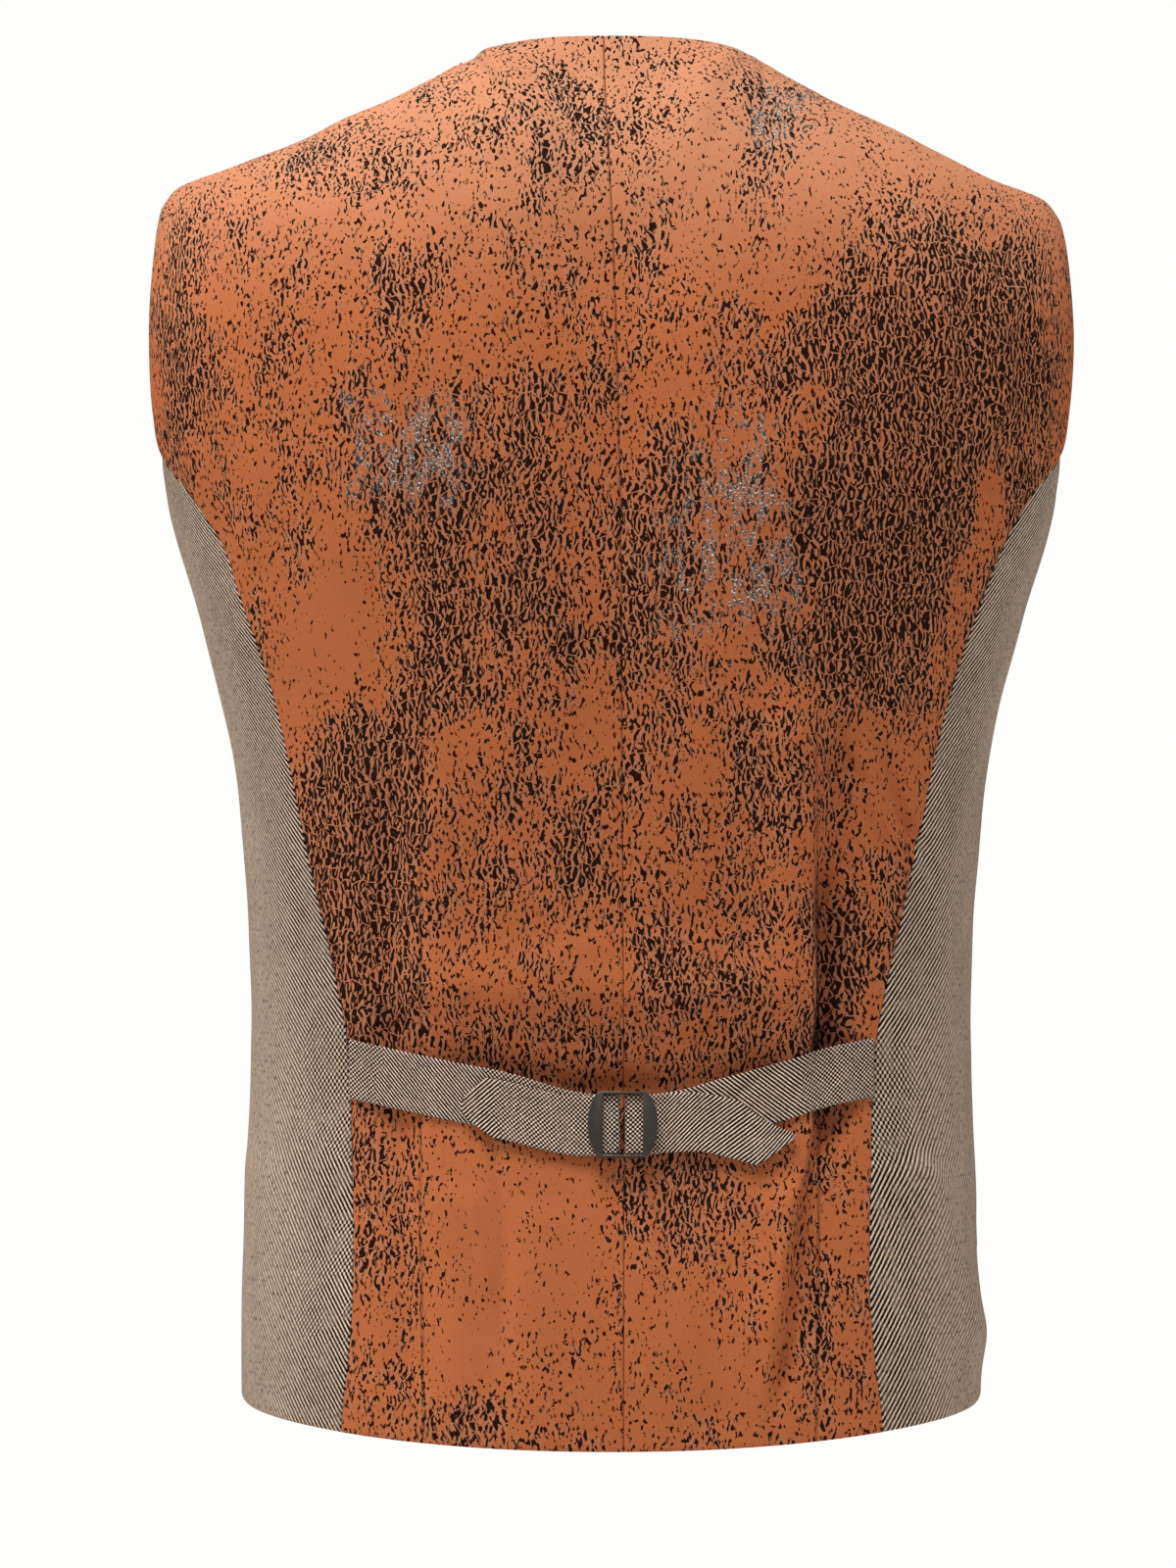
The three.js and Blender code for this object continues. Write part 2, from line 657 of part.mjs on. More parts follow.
// A place on a strap, some share across it from -1 to 1, and some lift off the back.
function strapPoint(x, across, lift, drop) {
  const near = nearBuckle(x);
  const centre = strapMiddle(x) - drop;
  const rise = across * strapHalf(x);
  const stand = lift + BUCKLE_REACH.stand * near;
  const level = offFigure('back', x, centre, stand);
  const flat = level.point.addScaledVector(level.upward, rise);
  return offFigure('back', x, centre + rise, stand).point.lerp(flat, near);
}

// One line along a strap: from the side seam beneath, round the buckle's bar, and back on top to its end.
function strapLine({ side, seamX, end, sink }, across) {
  const barX = BUCKLE.x + (side * BUCKLE.barSpacing) / 2;
  const endX = through(end, 'across', 'x')(across);
  const drop = through(sink, 'x', 'drop');
  const points = [];
  for (let i = 0; i <= STRAP_STEPS.run; i += 1) {
    points.push(strapPoint(lerp(seamX, barX, i / STRAP_STEPS.run), across, LOW_LIFT, 0));
  }
  for (let i = 1; i < STRAP_STEPS.bend; i += 1) {
    const turn = (Math.PI * i) / STRAP_STEPS.bend;
    const x = barX - side * LOOP_RADIUS * Math.sin(turn);
    points.push(strapPoint(x, across, LOW_LIFT + LOOP_RADIUS * (1 - Math.cos(turn)), 0));
  }
  for (let i = 0; i <= STRAP_STEPS.tail; i += 1) {
    const x = lerp(barX, endX, i / STRAP_STEPS.tail);
    const nearBar = 1 - step(Math.abs(x - barX), LOOP.reach, LOOP.reach + LOOP.fade);
    const lift = LOW_LIFT + lerp(LAYER_LIFT, BUCKLE.loopHeight, nearBar);
    points.push(strapPoint(x, across, lift, drop(x)));
  }
  return points;
}

// A strap as a closed wall, half its thickness to each side of its middle.
function strapPiece(strap) {
  const lines = Array.from({ length: STRAP_STEPS.across + 1 }, (_, k) =>
    strapLine(strap, lerp(-1, 1, k / STRAP_STEPS.across)),
  );
  const upward = new THREE.Vector3(0, 0, 1);
  const grid = lines.map((line) =>
    line.map((point, i) => {
      const along = line[Math.min(i + 1, line.length - 1)].clone().sub(line[Math.max(i - 1, 0)]);
      const outward = along.cross(upward).normalize().multiplyScalar(strap.side);
      return { point: point.clone().addScaledVector(outward, STRAP_WALL / 2), outward };
    }),
  );
  return wallOf(grid, STRAP_WALL, strap.side);
}

function solidOf(geometry) {
  const bare = geometry.index ? geometry.toNonIndexed() : geometry.clone();
  bare.deleteAttribute('normal');
  bare.deleteAttribute('uv');
  const merged = mergeVertices(bare, 1e-4);
  return new wasm.Manifold(
    new wasm.Mesh({
      numProp: 3,
      vertProperties: new Float32Array(merged.attributes.position.array),
      triVerts: new Uint32Array(merged.index.array),
    }),
  );
}

function geometryOf(solid) {
  const mesh = solid.getMesh();
  const geometry = new THREE.BufferGeometry();
  geometry.setAttribute('position', new THREE.BufferAttribute(mesh.vertProperties, 3));
  geometry.setIndex(new THREE.BufferAttribute(mesh.triVerts, 1));
  geometry.computeVertexNormals();
  return geometry;
}

// One bow of the buckle: a crescent plate, straight on the side towards the middle.
function bow(side) {
  const { bowStarts, bowTip, bowWidth, bowThickness, bowBevel } = BUCKLE;
  const half = BUCKLE.innerHeight / 2 + BUCKLE.rail;
  const bulge = bowStarts + bowWidth * 2 - bowTip;
  const shape = new THREE.Shape();
  shape.moveTo(side * bowStarts, -half);
  shape.lineTo(side * (bowStarts + bowTip), -half);
  shape.quadraticCurveTo(side * bulge, 0, side * (bowStarts + bowTip), half);
  shape.lineTo(side * bowStarts, half);
  shape.closePath();
  return new THREE.ExtrudeGeometry(shape, {
    depth: bowThickness,
    curveSegments: 12,
    bevelEnabled: true,
    bevelThickness: bowBevel,
    bevelSize: bowBevel,
    bevelSegments: 1,
  });
}

// The buckle lies in its own plane, across, up and out, and is then set on the back.
function buckleSolid() {
  const barLift = LOW_LIFT + LOOP_RADIUS;
  const bowLift = LOW_LIFT + BUCKLE.loopHeight + STRAP_WALL / 2 + BUCKLE.bowClearance;
  const half = BUCKLE.innerHeight / 2;
  const railFoot = barLift - BUCKLE.railDrop;
  const railDepth = bowLift + BUCKLE.bowThickness - railFoot;
  const pieces = [];
  for (const end of [-1, 1]) {
    const rail = new THREE.BoxGeometry(BUCKLE.railReach * 2, BUCKLE.rail, railDepth);
    pieces.push(rail.translate(0, end * (half + BUCKLE.rail / 2), railFoot + railDepth / 2));
  }
  for (const side of [-1, 1]) {
    const length = BUCKLE.innerHeight + BUCKLE.rail;
    const bar = new THREE.CylinderGeometry(BUCKLE.barRadius, BUCKLE.barRadius, length, BUCKLE.barSides);
    pieces.push(bar.translate((side * BUCKLE.barSpacing) / 2, 0, barLift));
    pieces.push(bow(side).translate(0, 0, bowLift));
  }
  return geometryOf(pieces.map(solidOf).reduce((whole, piece) => whole.add(piece)));
}

// Sets a thing made flat, its face along +Z, at a place on the figure.
function placed(geometry, { point, outward }) {
  const across = new THREE.Vector3(-1, 0, 0);
  const up = new THREE.Vector3().crossVectors(outward, across).normalize();
  const level = new THREE.Vector3().crossVectors(up, outward).normalize();
  const matrix = new THREE.Matrix4().makeBasis(level, up, outward).setPosition(point);
  return geometry.applyMatrix4(matrix);
}

// A four-hole button, turned about its axis, its back face at zero.
function buttonSolid() {
  const { radius, thickness, backBevel, frontBevel, rim, dishSlope, dish } = BUTTON;
  const outline = [
    [0, 0],
    [radius - backBevel, 0],
    [radius, backBevel],
    [radius, thickness - frontBevel],
    [radius - frontBevel, thickness],
    [radius - rim, thickness],
    [radius - rim - dishSlope, thickness - dish],
    [0, thickness - dish],
  ].map(([r, z]) => new THREE.Vector2(r, z));
  const disc = new THREE.LatheGeometry(outline, BUTTON.sides);
  disc.rotateX(Math.PI / 2);
  let solid = solidOf(disc);
  for (const [h, v] of [[-1, -1], [-1, 1], [1, -1], [1, 1]]) {
    const { holeRadius, holeSides } = BUTTON;
    const hole = new THREE.CylinderGeometry(holeRadius, holeRadius, thickness * 3, holeSides);
    hole.rotateX(Math.PI / 2);
    hole.translate(h * BUTTON.holeOffset, v * BUTTON.holeOffset, 0);
    solid = solid.subtract(solidOf(hole));
  }
  return geometryOf(solid);
}

const suede = new THREE.MeshStandardMaterial({ color: 0xb0673f, roughness: 0.85 });
const wool = new THREE.MeshStandardMaterial({ color: 0x85725f, roughness: 0.95 });
const metal = new THREE.MeshStandardMaterial({ color: 0x4c4742, roughness: 0.35, metalness: 1 });
const horn = new THREE.MeshStandardMaterial({ color: 0x3b2a20, roughness: 0.4 });

const waistcoat = new THREE.Group();
function addPiece(name, geometry, material) {
  const mesh = new THREE.Mesh(geometry, material);
  mesh.name = name;
  mesh.position.z = -SHOULDER_HEIGHT;
  waistcoat.add(mesh);
}

addPiece('back_left', backHalf(1), suede);
addPiece('back_right', backHalf(-1), suede);
addPiece('front_left', frontPiece(1, false), wool);
addPiece('front_right', frontPiece(-1, true), wool);
addPiece('strap_left', strapPiece(LEFT_STRAP), wool);
addPiece('strap_right', strapPiece(RIGHT_STRAP), wool);


const buckleSeat = offFigure('back', BUCKLE.x, BUCKLE.height, BUCKLE_REACH.stand);
addPiece('cinch_buckle', placed(buckleSolid(), buckleSeat), metal);

BUTTON_HEIGHTS.forEach((height, i) => {
  const seat = offFigure('front', 0, height, CLEARANCE);
  addPiece(`button_${i + 1}`, placed(buttonSolid(), seat), horn);
});

export default waistcoat;
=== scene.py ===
"""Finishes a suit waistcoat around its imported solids: cloth shells with folds, print and weave, strap,
buckle, buttons, stage, light and camera. Lengths in the tables are millimetres, heights in them are
measured up from the hem at centre back, and everything is made in metres in the frame of the solids."""

import logging
import math
from dataclasses import dataclass
from enum import Enum
from typing import Callable, NamedTuple

import bmesh
import bpy
import numpy as np
from mathutils import Matrix, Vector, kdtree


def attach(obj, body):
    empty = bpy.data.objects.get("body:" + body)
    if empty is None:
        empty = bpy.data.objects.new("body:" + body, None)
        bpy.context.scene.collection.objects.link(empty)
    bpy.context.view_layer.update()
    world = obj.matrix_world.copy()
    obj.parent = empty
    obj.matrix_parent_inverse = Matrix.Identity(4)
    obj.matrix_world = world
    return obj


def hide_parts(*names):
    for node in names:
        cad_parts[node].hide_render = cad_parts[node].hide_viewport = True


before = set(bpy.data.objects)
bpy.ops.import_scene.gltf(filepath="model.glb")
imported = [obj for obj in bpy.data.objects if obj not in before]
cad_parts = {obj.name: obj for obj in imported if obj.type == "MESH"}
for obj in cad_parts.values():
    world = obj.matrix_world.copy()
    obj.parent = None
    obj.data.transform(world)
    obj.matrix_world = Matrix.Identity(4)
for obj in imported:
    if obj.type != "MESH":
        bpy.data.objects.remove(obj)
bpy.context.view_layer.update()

LOG = logging.getLogger("waistcoat")
MM = 0.001
SHOULDER_HEIGHT = 574.0
BACK_THICKNESS = 1.6
FRONT_THICKNESS = 1.8
UNDERLAP_DROP = 2.7
Array = np.ndarray


class Face(Enum):
    """The two faces of the figure."""

    BACK = "back"
    FRONT = "front"


class Side(Enum):
    """The wearer's left and right, as the sign of X."""

    LEFT = 1
    RIGHT = -1


class Section(NamedTuple):
    """A level cut through the figure: half its width, and how far its back and front stand out."""

    height: float
    half_width: float
    back: float
    front: float


class Fold(NamedTuple):
    """A ridge (depth above 0) or trough (below 0) along a bowed line from a start to an end."""

    face: Face
    x0: float
    z0: float
    x1: float
    z1: float
    bow: float
    width: float
    depth: float


class Patch(NamedTuple):
    """A soft oval where a print is dense or a weave checks (strength above 0), or is worn off (below 0)."""

    x: float
    height: float
    across: float
    up: float
    tilt: float
    strength: float


def smooth(value: Array, low: float, high: float) -> Array:
    """Rises smoothly from 0 to 1.

    Args:
        value: The numbers to look at.
        low: Where the rise starts.
        high: Where it ends.

    Returns:
        A number from 0 to 1 for each.
    """
    share = np.clip((np.asarray(value, float) - low) / (high - low), 0.0, 1.0)
    return share * share * (3.0 - 2.0 * share)


def mix(low: Array, high: Array, share: Array) -> Array:
    """Goes straight from one value to another by a share."""
    return low + (high - low) * share


class Line:
    """A smooth line through a short table of pairs."""

    def __init__(self, *rows: tuple[float, float]) -> None:
        """Keeps the rows and works out the line's slope at each.

        Args:
            rows: Pairs of a place and its value, in rising order.
        """
        self.at, self.value = np.array(rows, float).T
        after = np.minimum(np.arange(len(self.at)) + 1, len(self.at) - 1)
        before = np.maximum(np.arange(len(self.at)) - 1, 0)
        self.slope = (self.value[after] - self.value[before]) / (self.at[after] - self.at[before])

    def __call__(self, place: Array) -> Array:
        """Reads the line.

        Args:
            place: Where to read it.

        Returns:
            The value at each place, held level past both ends.
        """
        place = np.asarray(place, float)
        i = np.clip(np.searchsorted(self.at, place, side="right") - 1, 0, len(self.at) - 2)
        span = self.at[i + 1] - self.at[i]
        t = np.clip((place - self.at[i]) / span, 0.0, 1.0)
        rise = 3.0 * t**2 - 2.0 * t**3
        return (
            mix(self.value[i], self.value[i + 1], rise)
            + self.slope[i] * span * (t**3 - 2.0 * t**2 + t)
            + self.slope[i + 1] * span * (t**3 - t**2)
        )


@dataclass(frozen=True)
class Figure:
    """The general figure that the waistcoat is filled out to."""

    sections: tuple[Section, ...] = (
        Section(-60, 163.5, 114, 115),
        Section(0, 163.5, 112, 116),
        Section(60, 163.5, 106, 117),
        Section(110, 162, 98, 117),
        Section(150, 160, 92, 116),
        Section(190, 159.8, 94, 117),
        Section(240, 161.8, 100, 121),
        Section(300, 168.3, 108, 128),
        Section(356, 181.8, 114.5, 133),
        Section(390, 192, 117.5, 134.5),
        Section(428, 203.5, 119.5, 133.5),
        Section(480, 211, 118.5, 125),
        Section(530, 212, 110, 110),
        Section(600, 212, 92, 84),
    )
    back_squareness: float = 2.5
    front_squareness: float = 2.35

    def line(self, column: str) -> Line:
        """A smooth line up one column of the sections."""
        return Line(*((row.height, getattr(row, column)) for row in self.sections))

    def half_width(self, height: Array) -> Array:
        """Half the figure's width at a height."""
        return self.line("half_width")(height)

    def squareness(self, face: Face) -> float:
        """How square a face's level cut is."""
        return self.back_squareness if face is Face.BACK else self.front_squareness

    def depth(self, face: Face, height: Array) -> Array:
        """How far a face stands from the side line, with its sign.

        Args:
            face: The back or the front.
            height: How far up from the hem.

        Returns:
            The distance for each height: above 0 at the back, below 0 at the front.
        """
        if face is Face.BACK:
            return self.line("back")(height)
        return -self.line("front")(height)

    def point(self, face: Face, x: Array, height: Array) -> Array:
        """Places on one face of the figure.

        Args:
            face: The back or the front.
            x: How far across.
            height: How far up from the hem.

        Returns:
            One point for each place, with the last axis holding x, y and height.
        """
        x, height = np.broadcast_arrays(np.asarray(x, float), np.asarray(height, float))
        share = np.minimum(np.abs(x) / self.half_width(height), 0.9999)
        power = self.squareness(face)
        y = self.depth(face, height) * (1.0 - share**power) ** (1.0 / power)
        return np.stack([x, y, height], axis=-1)


@dataclass(frozen=True)
class Cut:
    """The lines the waistcoat is cut to, on the figure."""

    neck_height: float = 609.5
    neck_half_width: float = 66.0
    neck_back_depth: float = 60.0
    seam_depth: float = -12.0
    rounding: float = 88.0
    right_drop: float = 5.0
    armhole_corner: float = 428.0
    chest_line: float = 358.0
    nape_lean: float = 0.96
    shoulder_lean: float = -0.24
    back_turn: float = 1.26
    front_turn: float = 1.2
    centre_seam: Line = Line(
        (-20, -5), (140, -5.2), (300, -4.4), (400, -3.6), (500, -1.2), (560, 1.4), (613, 3.4)
    )
    back_edge: Line = Line(
        (-10, 117.5), (18, 115.5), (35, 113.4), (70, 111.2), (120, 112), (170, 114), (205, 120.5),
        (256, 132), (307, 142.5), (341, 152), (376, 164.5), (393, 172), (410, 183), (428, 196.5),
        (446, 200.5), (464, 202), (482, 202.2), (560, 200),
    )
    shoulder: Line = Line(
        (66, 601.5), (74, 596.3), (84, 591), (99, 583.3), (117, 575.9), (134, 568), (152, 561.4),
        (169, 555.4), (184, 551), (193, 547), (198.5, 540),
    )
    armhole_front: Line = Line(
        (-60, 128), (60, 128), (180, 127), (260, 135), (320, 149), (356, 164), (374, 168),
        (400, 166.5), (430, 165), (470, 167.5),
    )
    front_edge: Line = Line(
        (-60, -18), (300, -18), (318, -17.6), (332, -11), (350, -1), (380, 12), (430, 30),
        (480, 44.5), (530, 55.5), (600, 66),
    )
    side_hem: Line = Line((0, 6), (0.3, 11.5), (0.6, 17), (0.8, 14), (1, 8))
    armhole_bottom: Line = Line(
        (0, 428), (0.13, 417), (0.26, 404.5), (0.4, 387), (0.54, 367), (0.66, 356), (0.77, 352.5),
        (0.89, 357), (1, 371),
    )
    front_hem: Line = Line(
        (-18, 34), (-6, 22), (18, -1), (36, -18), (46, -22.5), (58, -21), (90, -9), (128, 8)
    )

    def tip(self) -> float:
        """How far out the shoulder seam ends."""
        return float(self.shoulder.at[-1])

    def shoulder_seam(self, side: Side, along: Array) -> Array:
        """Places on the shoulder seam.

        Args:
            side: Which shoulder.
            along: Shares from the neck at 0 to the tip at 1.

        Returns:
            One point for each share.
        """
        x = mix(self.neck_half_width, self.tip(), np.asarray(along, float))
        drop = self.right_drop * smooth(x, 80, 180) if side is Side.RIGHT else 0.0
        return np.stack([side.value * x, np.full_like(x, self.seam_depth), self.shoulder(x) - drop], axis=-1)

    def neck_share(self, side: Side) -> float:
        """The share of a back half's columns that ends at the neck point.

        Args:
            side: Which half.

        Returns:
            The share, between 0 and 1.
        """
        seam = side.value * float(self.centre_seam(self.neck_height))
        reach = (self.neck_half_width - seam) / (self.tip() - seam)
        return math.asin(reach * math.sin(self.back_turn)) / self.back_turn

    def back_top(self, side: Side, along: Array) -> Array:
        """The top of a back half: round the neck, then along the shoulder.

        Args:
            side: Which half.
            along: Shares from the centre seam at 0 to the shoulder tip at 1.

        Returns:
            One point for each share.
        """
        neck = self.neck_share(side)
        seam = side.value * float(self.centre_seam(self.neck_height))
        turn = mix(math.asin(seam / self.neck_half_width), math.pi / 2, np.minimum(along / neck, 1.0))
        drop = (self.neck_height - float(self.shoulder(self.neck_half_width))) * np.sin(turn) ** 6
        depth = self.neck_back_depth - self.seam_depth
        round_neck = np.stack(
            [
                side.value * self.neck_half_width * np.sin(turn),
                self.seam_depth + depth * np.cos(turn),
                self.neck_height - drop,
            ],
            axis=-1,
        )
        on_shoulder = self.shoulder_seam(side, np.clip((along - neck) / (1.0 - neck), 0.0, 1.0))
        return np.where((along <= neck)[..., None], round_neck, on_shoulder)

    def arrival(self, face: Face, x: Array) -> Array:
        """The way the cloth runs as it reaches its top edge.

        Args:
            face: The back or the front.
            x: How far across each end is.

        Returns:
            A unit vector for each.
        """
        lean = mix(self.nape_lean, self.shoulder_lean, smooth(np.abs(x), 8, 72))
        way = -1
        if face is Face.FRONT:
            lean, way = np.full_like(lean, -self.shoulder_lean), 1
        return np.stack([0 * lean, way * np.cos(lean), np.sin(lean)], axis=-1)


FIGURE = Figure()
CUT = Cut()


@dataclass(frozen=True)
class Relief:
    """The folds of the cloth, as a distance out of the figure."""

    folds: tuple[Fold, ...] = (
        Fold(Face.BACK, -76, 300, -80, 168, 0, 11, 5.5),
        Fold(Face.BACK, -97, 290, -96, 160, 0, 8, -7),
        Fold(Face.BACK, -78, 135, -68, 60, 0, 10, 4.5),
        Fold(Face.BACK, -94, 140, -84, 62, 0, 8, -5),
        Fold(Face.BACK, 76, 270, 79, 172, 0, 12, 3),
        Fold(Face.BACK, 95, 270, 94, 165, 0, 9, -4),
        Fold(Face.BACK, 70, 128, 66, 25, 0, 12, 2.5),
        Fold(Face.BACK, 90, 140, 86, 40, 0, 9, -3),
        Fold(Face.BACK, 28, 122, 36, 10, 0, 14, 2),
        Fold(Face.BACK, -38, 122, -44, 20, 0, 13, -2),
        Fold(Face.BACK, -60, 196, 62, 194, 0, 18, 5.5),
        Fold(Face.BACK, -70, 176, 80, 180, 0, 12, -2),
        Fold(Face.BACK, -122, 150, -156, 45, 0, 10, 3),
        Fold(Face.BACK, -128, 560, -176, 528, 0, 9, 2),
        Fold(Face.BACK, -118, 545, -168, 512, 0, 8, -2),
        Fold(Face.BACK, 150, 150, 152, 40, 0, 9, 2),
        Fold(Face.FRONT, 70, 250, 74, 120, 0, 14, -3),
        Fold(Face.FRONT, -70, 250, -74, 120, 0, 14, -3),
        Fold(Face.FRONT, 150, 345, 120, 290, 0, 10, 2.5),
        Fold(Face.FRONT, -150, 345, -120, 290, 0, 10, 2.5),
    )
    creases: tuple[Fold, ...] = (
        Fold(Face.BACK, -91.5, 236, -93, 160, 1, 5.0, -8.0),
        Fold(Face.BACK, -84.5, 268, -85.5, 160, 0, 3.6, 2.6),
        Fold(Face.BACK, -90.5, 140, -74, 38, -1.5, 3.8, -4.5),
        Fold(Face.BACK, -84, 134, -68, 40, -1.5, 4.4, 2.0),
        Fold(Face.BACK, -19, 205, -38, 203, 1, 1.8, -0.8),
        Fold(Face.BACK, -22, 186, -44, 181, -2, 2.2, -0.8),
        Fold(Face.BACK, -117, 293, -131, 262, -3, 2.6, -1.9),
        Fold(Face.BACK, -112, 286, -126, 256, -3, 2.4, 1.5),
        Fold(Face.BACK, -122, 281, -129, 250, 2, 2.2, -1.6),
        Fold(Face.BACK, -97, 309, -108, 287, -2, 2.4, -1.7),
        Fold(Face.BACK, -101, 300, -111, 276, 2, 2.2, 1.4),
        Fold(Face.BACK, 60, 600, 43, 552, 4, 5, -2.4),
        Fold(Face.BACK, 52, 596, 36, 560, 4, 5, 1.2),
        Fold(Face.BACK, -58, 600, -46, 566, -3, 5, -1.2),
        Fold(Face.BACK, 176, 434, 168, 382, 4, 6, -1.5),
        Fold(Face.BACK, 160, 440, 154, 392, 4, 6, 1.0),
        Fold(Face.BACK, 51, 128, 47, 62, 3, 4, -1.3),
        Fold(Face.BACK, 58, 130, 55, 80, -2, 4, 1.0),
        Fold(Face.BACK, -20, 122, -24, 74, 2, 5, -0.9),
        Fold(Face.BACK, 12, 118, 9, 66, -2, 5, 0.8),
        Fold(Face.BACK, -52, 184, -12, 178, 3, 4, -1.3),
        Fold(Face.BACK, 10, 176, 60, 184, 3, 4, -1.1),
        Fold(Face.BACK, 64, 190, 96, 178, -3, 4, -1.2),
        Fold(Face.BACK, -30, 214, 24, 210, -5, 6, 0.9),
        Fold(Face.BACK, -133, 122, -158, 50, 5, 5, 1.2),
        Fold(Face.BACK, -140, 128, -164, 60, 5, 5, -1.0),
        Fold(Face.FRONT, 118, 330, 84, 284, 8, 6, -1.4),
        Fold(Face.FRONT, -118, 330, -84, 284, -8, 6, -1.2),
        Fold(Face.FRONT, 26, 236, 92, 214, -6, 7, -1.2),
        Fold(Face.FRONT, -30, 178, -96, 200, 6, 7, -1.2),
        Fold(Face.FRONT, 20, 122, 84, 150, 5, 7, 1.1),
        Fold(Face.FRONT, -26, 118, -88, 140, -5, 7, 1.0),
    )
    blade_x: float = 88.0
    blade_height: float = 430.0
    blade_reach: float = 62.0
    blade_depth: float = 5.0
    spine_depth: float = 3.0
    spine_reach: float = 26.0
    spine_from: tuple[float, float] = (180, 300)
    spine_to: tuple[float, float] = (480, 560)
    end_fade: float = 16.0
    hold_above: float = 24.0
    hold_below: float = 34.0
    hold_fade: float = 14.0
    ripple: float = 0.35
    waves: tuple[tuple[float, ...], ...] = ((1.0, 17, 43, 0, -61, 29, 1.3), (0.6, 9, -21, 0.7, 33, 13, 0))
    nip_depth: float = 8.0
    nip_width: float = 12.0
    nip_rise: float = 14.0
    nip_ends: tuple[float, float] = (72, 108)
    nip_sway: float = 0.2
    nip_beat: float = 19.0

    def along(self, fold: Fold, x: Array, height: Array) -> Array:
        """How far one fold moves the cloth out.

        Args:
            fold: The ridge or trough.
            x: How far across each place is.
            height: How high it is.

        Returns:
            The distance for each place.
        """
        dx, dz = fold.x1 - fold.x0, fold.z1 - fold.z0
        length = math.hypot(dx, dz)
        share = ((x - fold.x0) * dx + (height - fold.z0) * dz) / length**2
        off = ((x - fold.x0) * dz - (height - fold.z0) * dx) / length
        inside = np.clip(share, 0.0, 1.0)
        off = off - fold.bow * 4.0 * inside * (1.0 - inside)
        beyond = np.maximum(np.maximum(-share, share - 1.0), 0.0) * length
        fade = min(self.end_fade, length / 3.0)
        return fold.depth * np.exp(-((off / fold.width) ** 2)) * np.exp(-((beyond / fade) ** 2))

    def out(self, points: Array) -> Array:
        """How far the cloth stands out of the figure at each point.

        Args:
            points: Places on the cloth, in millimetres above the hem.

        Returns:
            The distance for each point.
        """
        x, y, height = np.moveaxis(points, -1, 0)
        behind = y > 0
        folded = np.zeros_like(x)
        for fold in self.folds + self.creases:
            folded += np.where(behind == (fold.face is Face.BACK), self.along(fold, x, height), 0.0)
        from_blade = np.hypot(np.abs(x) - self.blade_x, height - self.blade_height)
        blade = self.blade_depth * np.exp(-((from_blade / self.blade_reach) ** 2))
        spine = self.spine_depth * np.exp(-((x / self.spine_reach) ** 2))
        spine = spine * smooth(height, *self.spine_from) * (1.0 - smooth(height, *self.spine_to))
        folded += np.where(behind, blade - spine, 0.0)
        for share, x1, z1, turn1, x2, z2, turn2 in self.waves:
            beat = np.sin(x / x1 + height / z1 + turn1) * np.sin(x / x2 + height / z2 + turn2)
            folded += self.ripple * share * beat
        from_strap = height - STRAP.middle(x)
        hold = np.where(from_strap > 0, self.hold_above, self.hold_below)
        held = (1.0 - smooth(np.abs(from_strap) - hold, 0, self.hold_fade)) * behind
        nip = np.exp(-(((from_strap - self.nip_rise) / self.nip_width) ** 2)) * behind
        nip *= 1.0 - smooth(np.abs(x), *self.nip_ends)
        nip *= 1.0 - self.nip_sway * (1.0 - np.sin(x / self.nip_beat + 1.0))
        total = folded - self.nip_depth * nip
        return np.where(total > 0, total * (1.0 - held), total)


@dataclass(frozen=True)
class StrapCut:
    """What both cinch straps share: their line across the back, their width and their layers."""

    wall: float = 1.4
    clear: float = 0.35
    half: float = 12.75
    middle: Line = Line(
        (-112, 161.8), (-92, 158), (-74, 152.4), (-50, 146), (-26, 139.5), (-5, 137.8), (16, 139.6),
        (44, 147.5), (74, 153.4), (113, 161.4),
    )
    buckle_x: float = -4.6
    buckle_height: float = 137.8
    bar_spacing: float = 6.8
    bar_lift: float = 3.5
    stand: float = 0.55
    layer: float = 1.75
    seam_x: float = 112.6
    beside_bar: tuple[float, float] = (4.2, 13.2)
    beside_buckle: tuple[float, float] = (13, 30)

    def low(self) -> float:
        """How far the middle of the lowest layer stands off the back."""
        return self.clear + self.wall / 2


STRAP = StrapCut()
RELIEF = Relief()
REACH_OVER_SHOULDER = 0.38
CURVE_OVER_CHORD = 1.08
STEP_BELOW_TURN = 4.0
STEPS_ROUND = 96


def over_shoulder(start: Array, rise: Array, end: Array, arrival: Array, t: Array) -> Array:
    """Cubic curves from the body up and over to the shoulder seam or the neck edge.

    Args:
        start: Where each curve leaves the figure.
        rise: The way it leaves.
        end: Where it ends.
        arrival: The way it arrives.
        t: How far along each curve, from 0 to 1.

    Returns:
        One point for each.
    """
    reach = np.linalg.norm(end - start, axis=-1, keepdims=True) * REACH_OVER_SHOULDER
    t = t[..., None]
    first = start + rise * reach
    second = end - arrival * reach
    return (1 - t) ** 3 * start + 3 * (1 - t) ** 2 * t * first + 3 * (1 - t) * t**2 * second + t**3 * end


def shares(count: int, near: float, ends: tuple[bool, bool] = (True, True)) -> Array:
    """Even shares from 0 to 1 with two more lines close to each end that is an edge of the cloth.

    Args:
        count: How many even steps.
        near: The share that is about one wall's thickness from an end.
        ends: Whether the start and the end are edges.

    Returns:
        The shares in rising order.
    """
    inner = np.arange(1, count) / count
    inner = inner[(inner > near * 1.5) & (inner < 1.0 - near * 1.5)]
    first = [near * 0.3, near] if ends[0] else []
    last = [1.0 - near, 1.0 - near * 0.3] if ends[1] else []
    return np.array([0.0, *first, *inner, *last, 1.0])


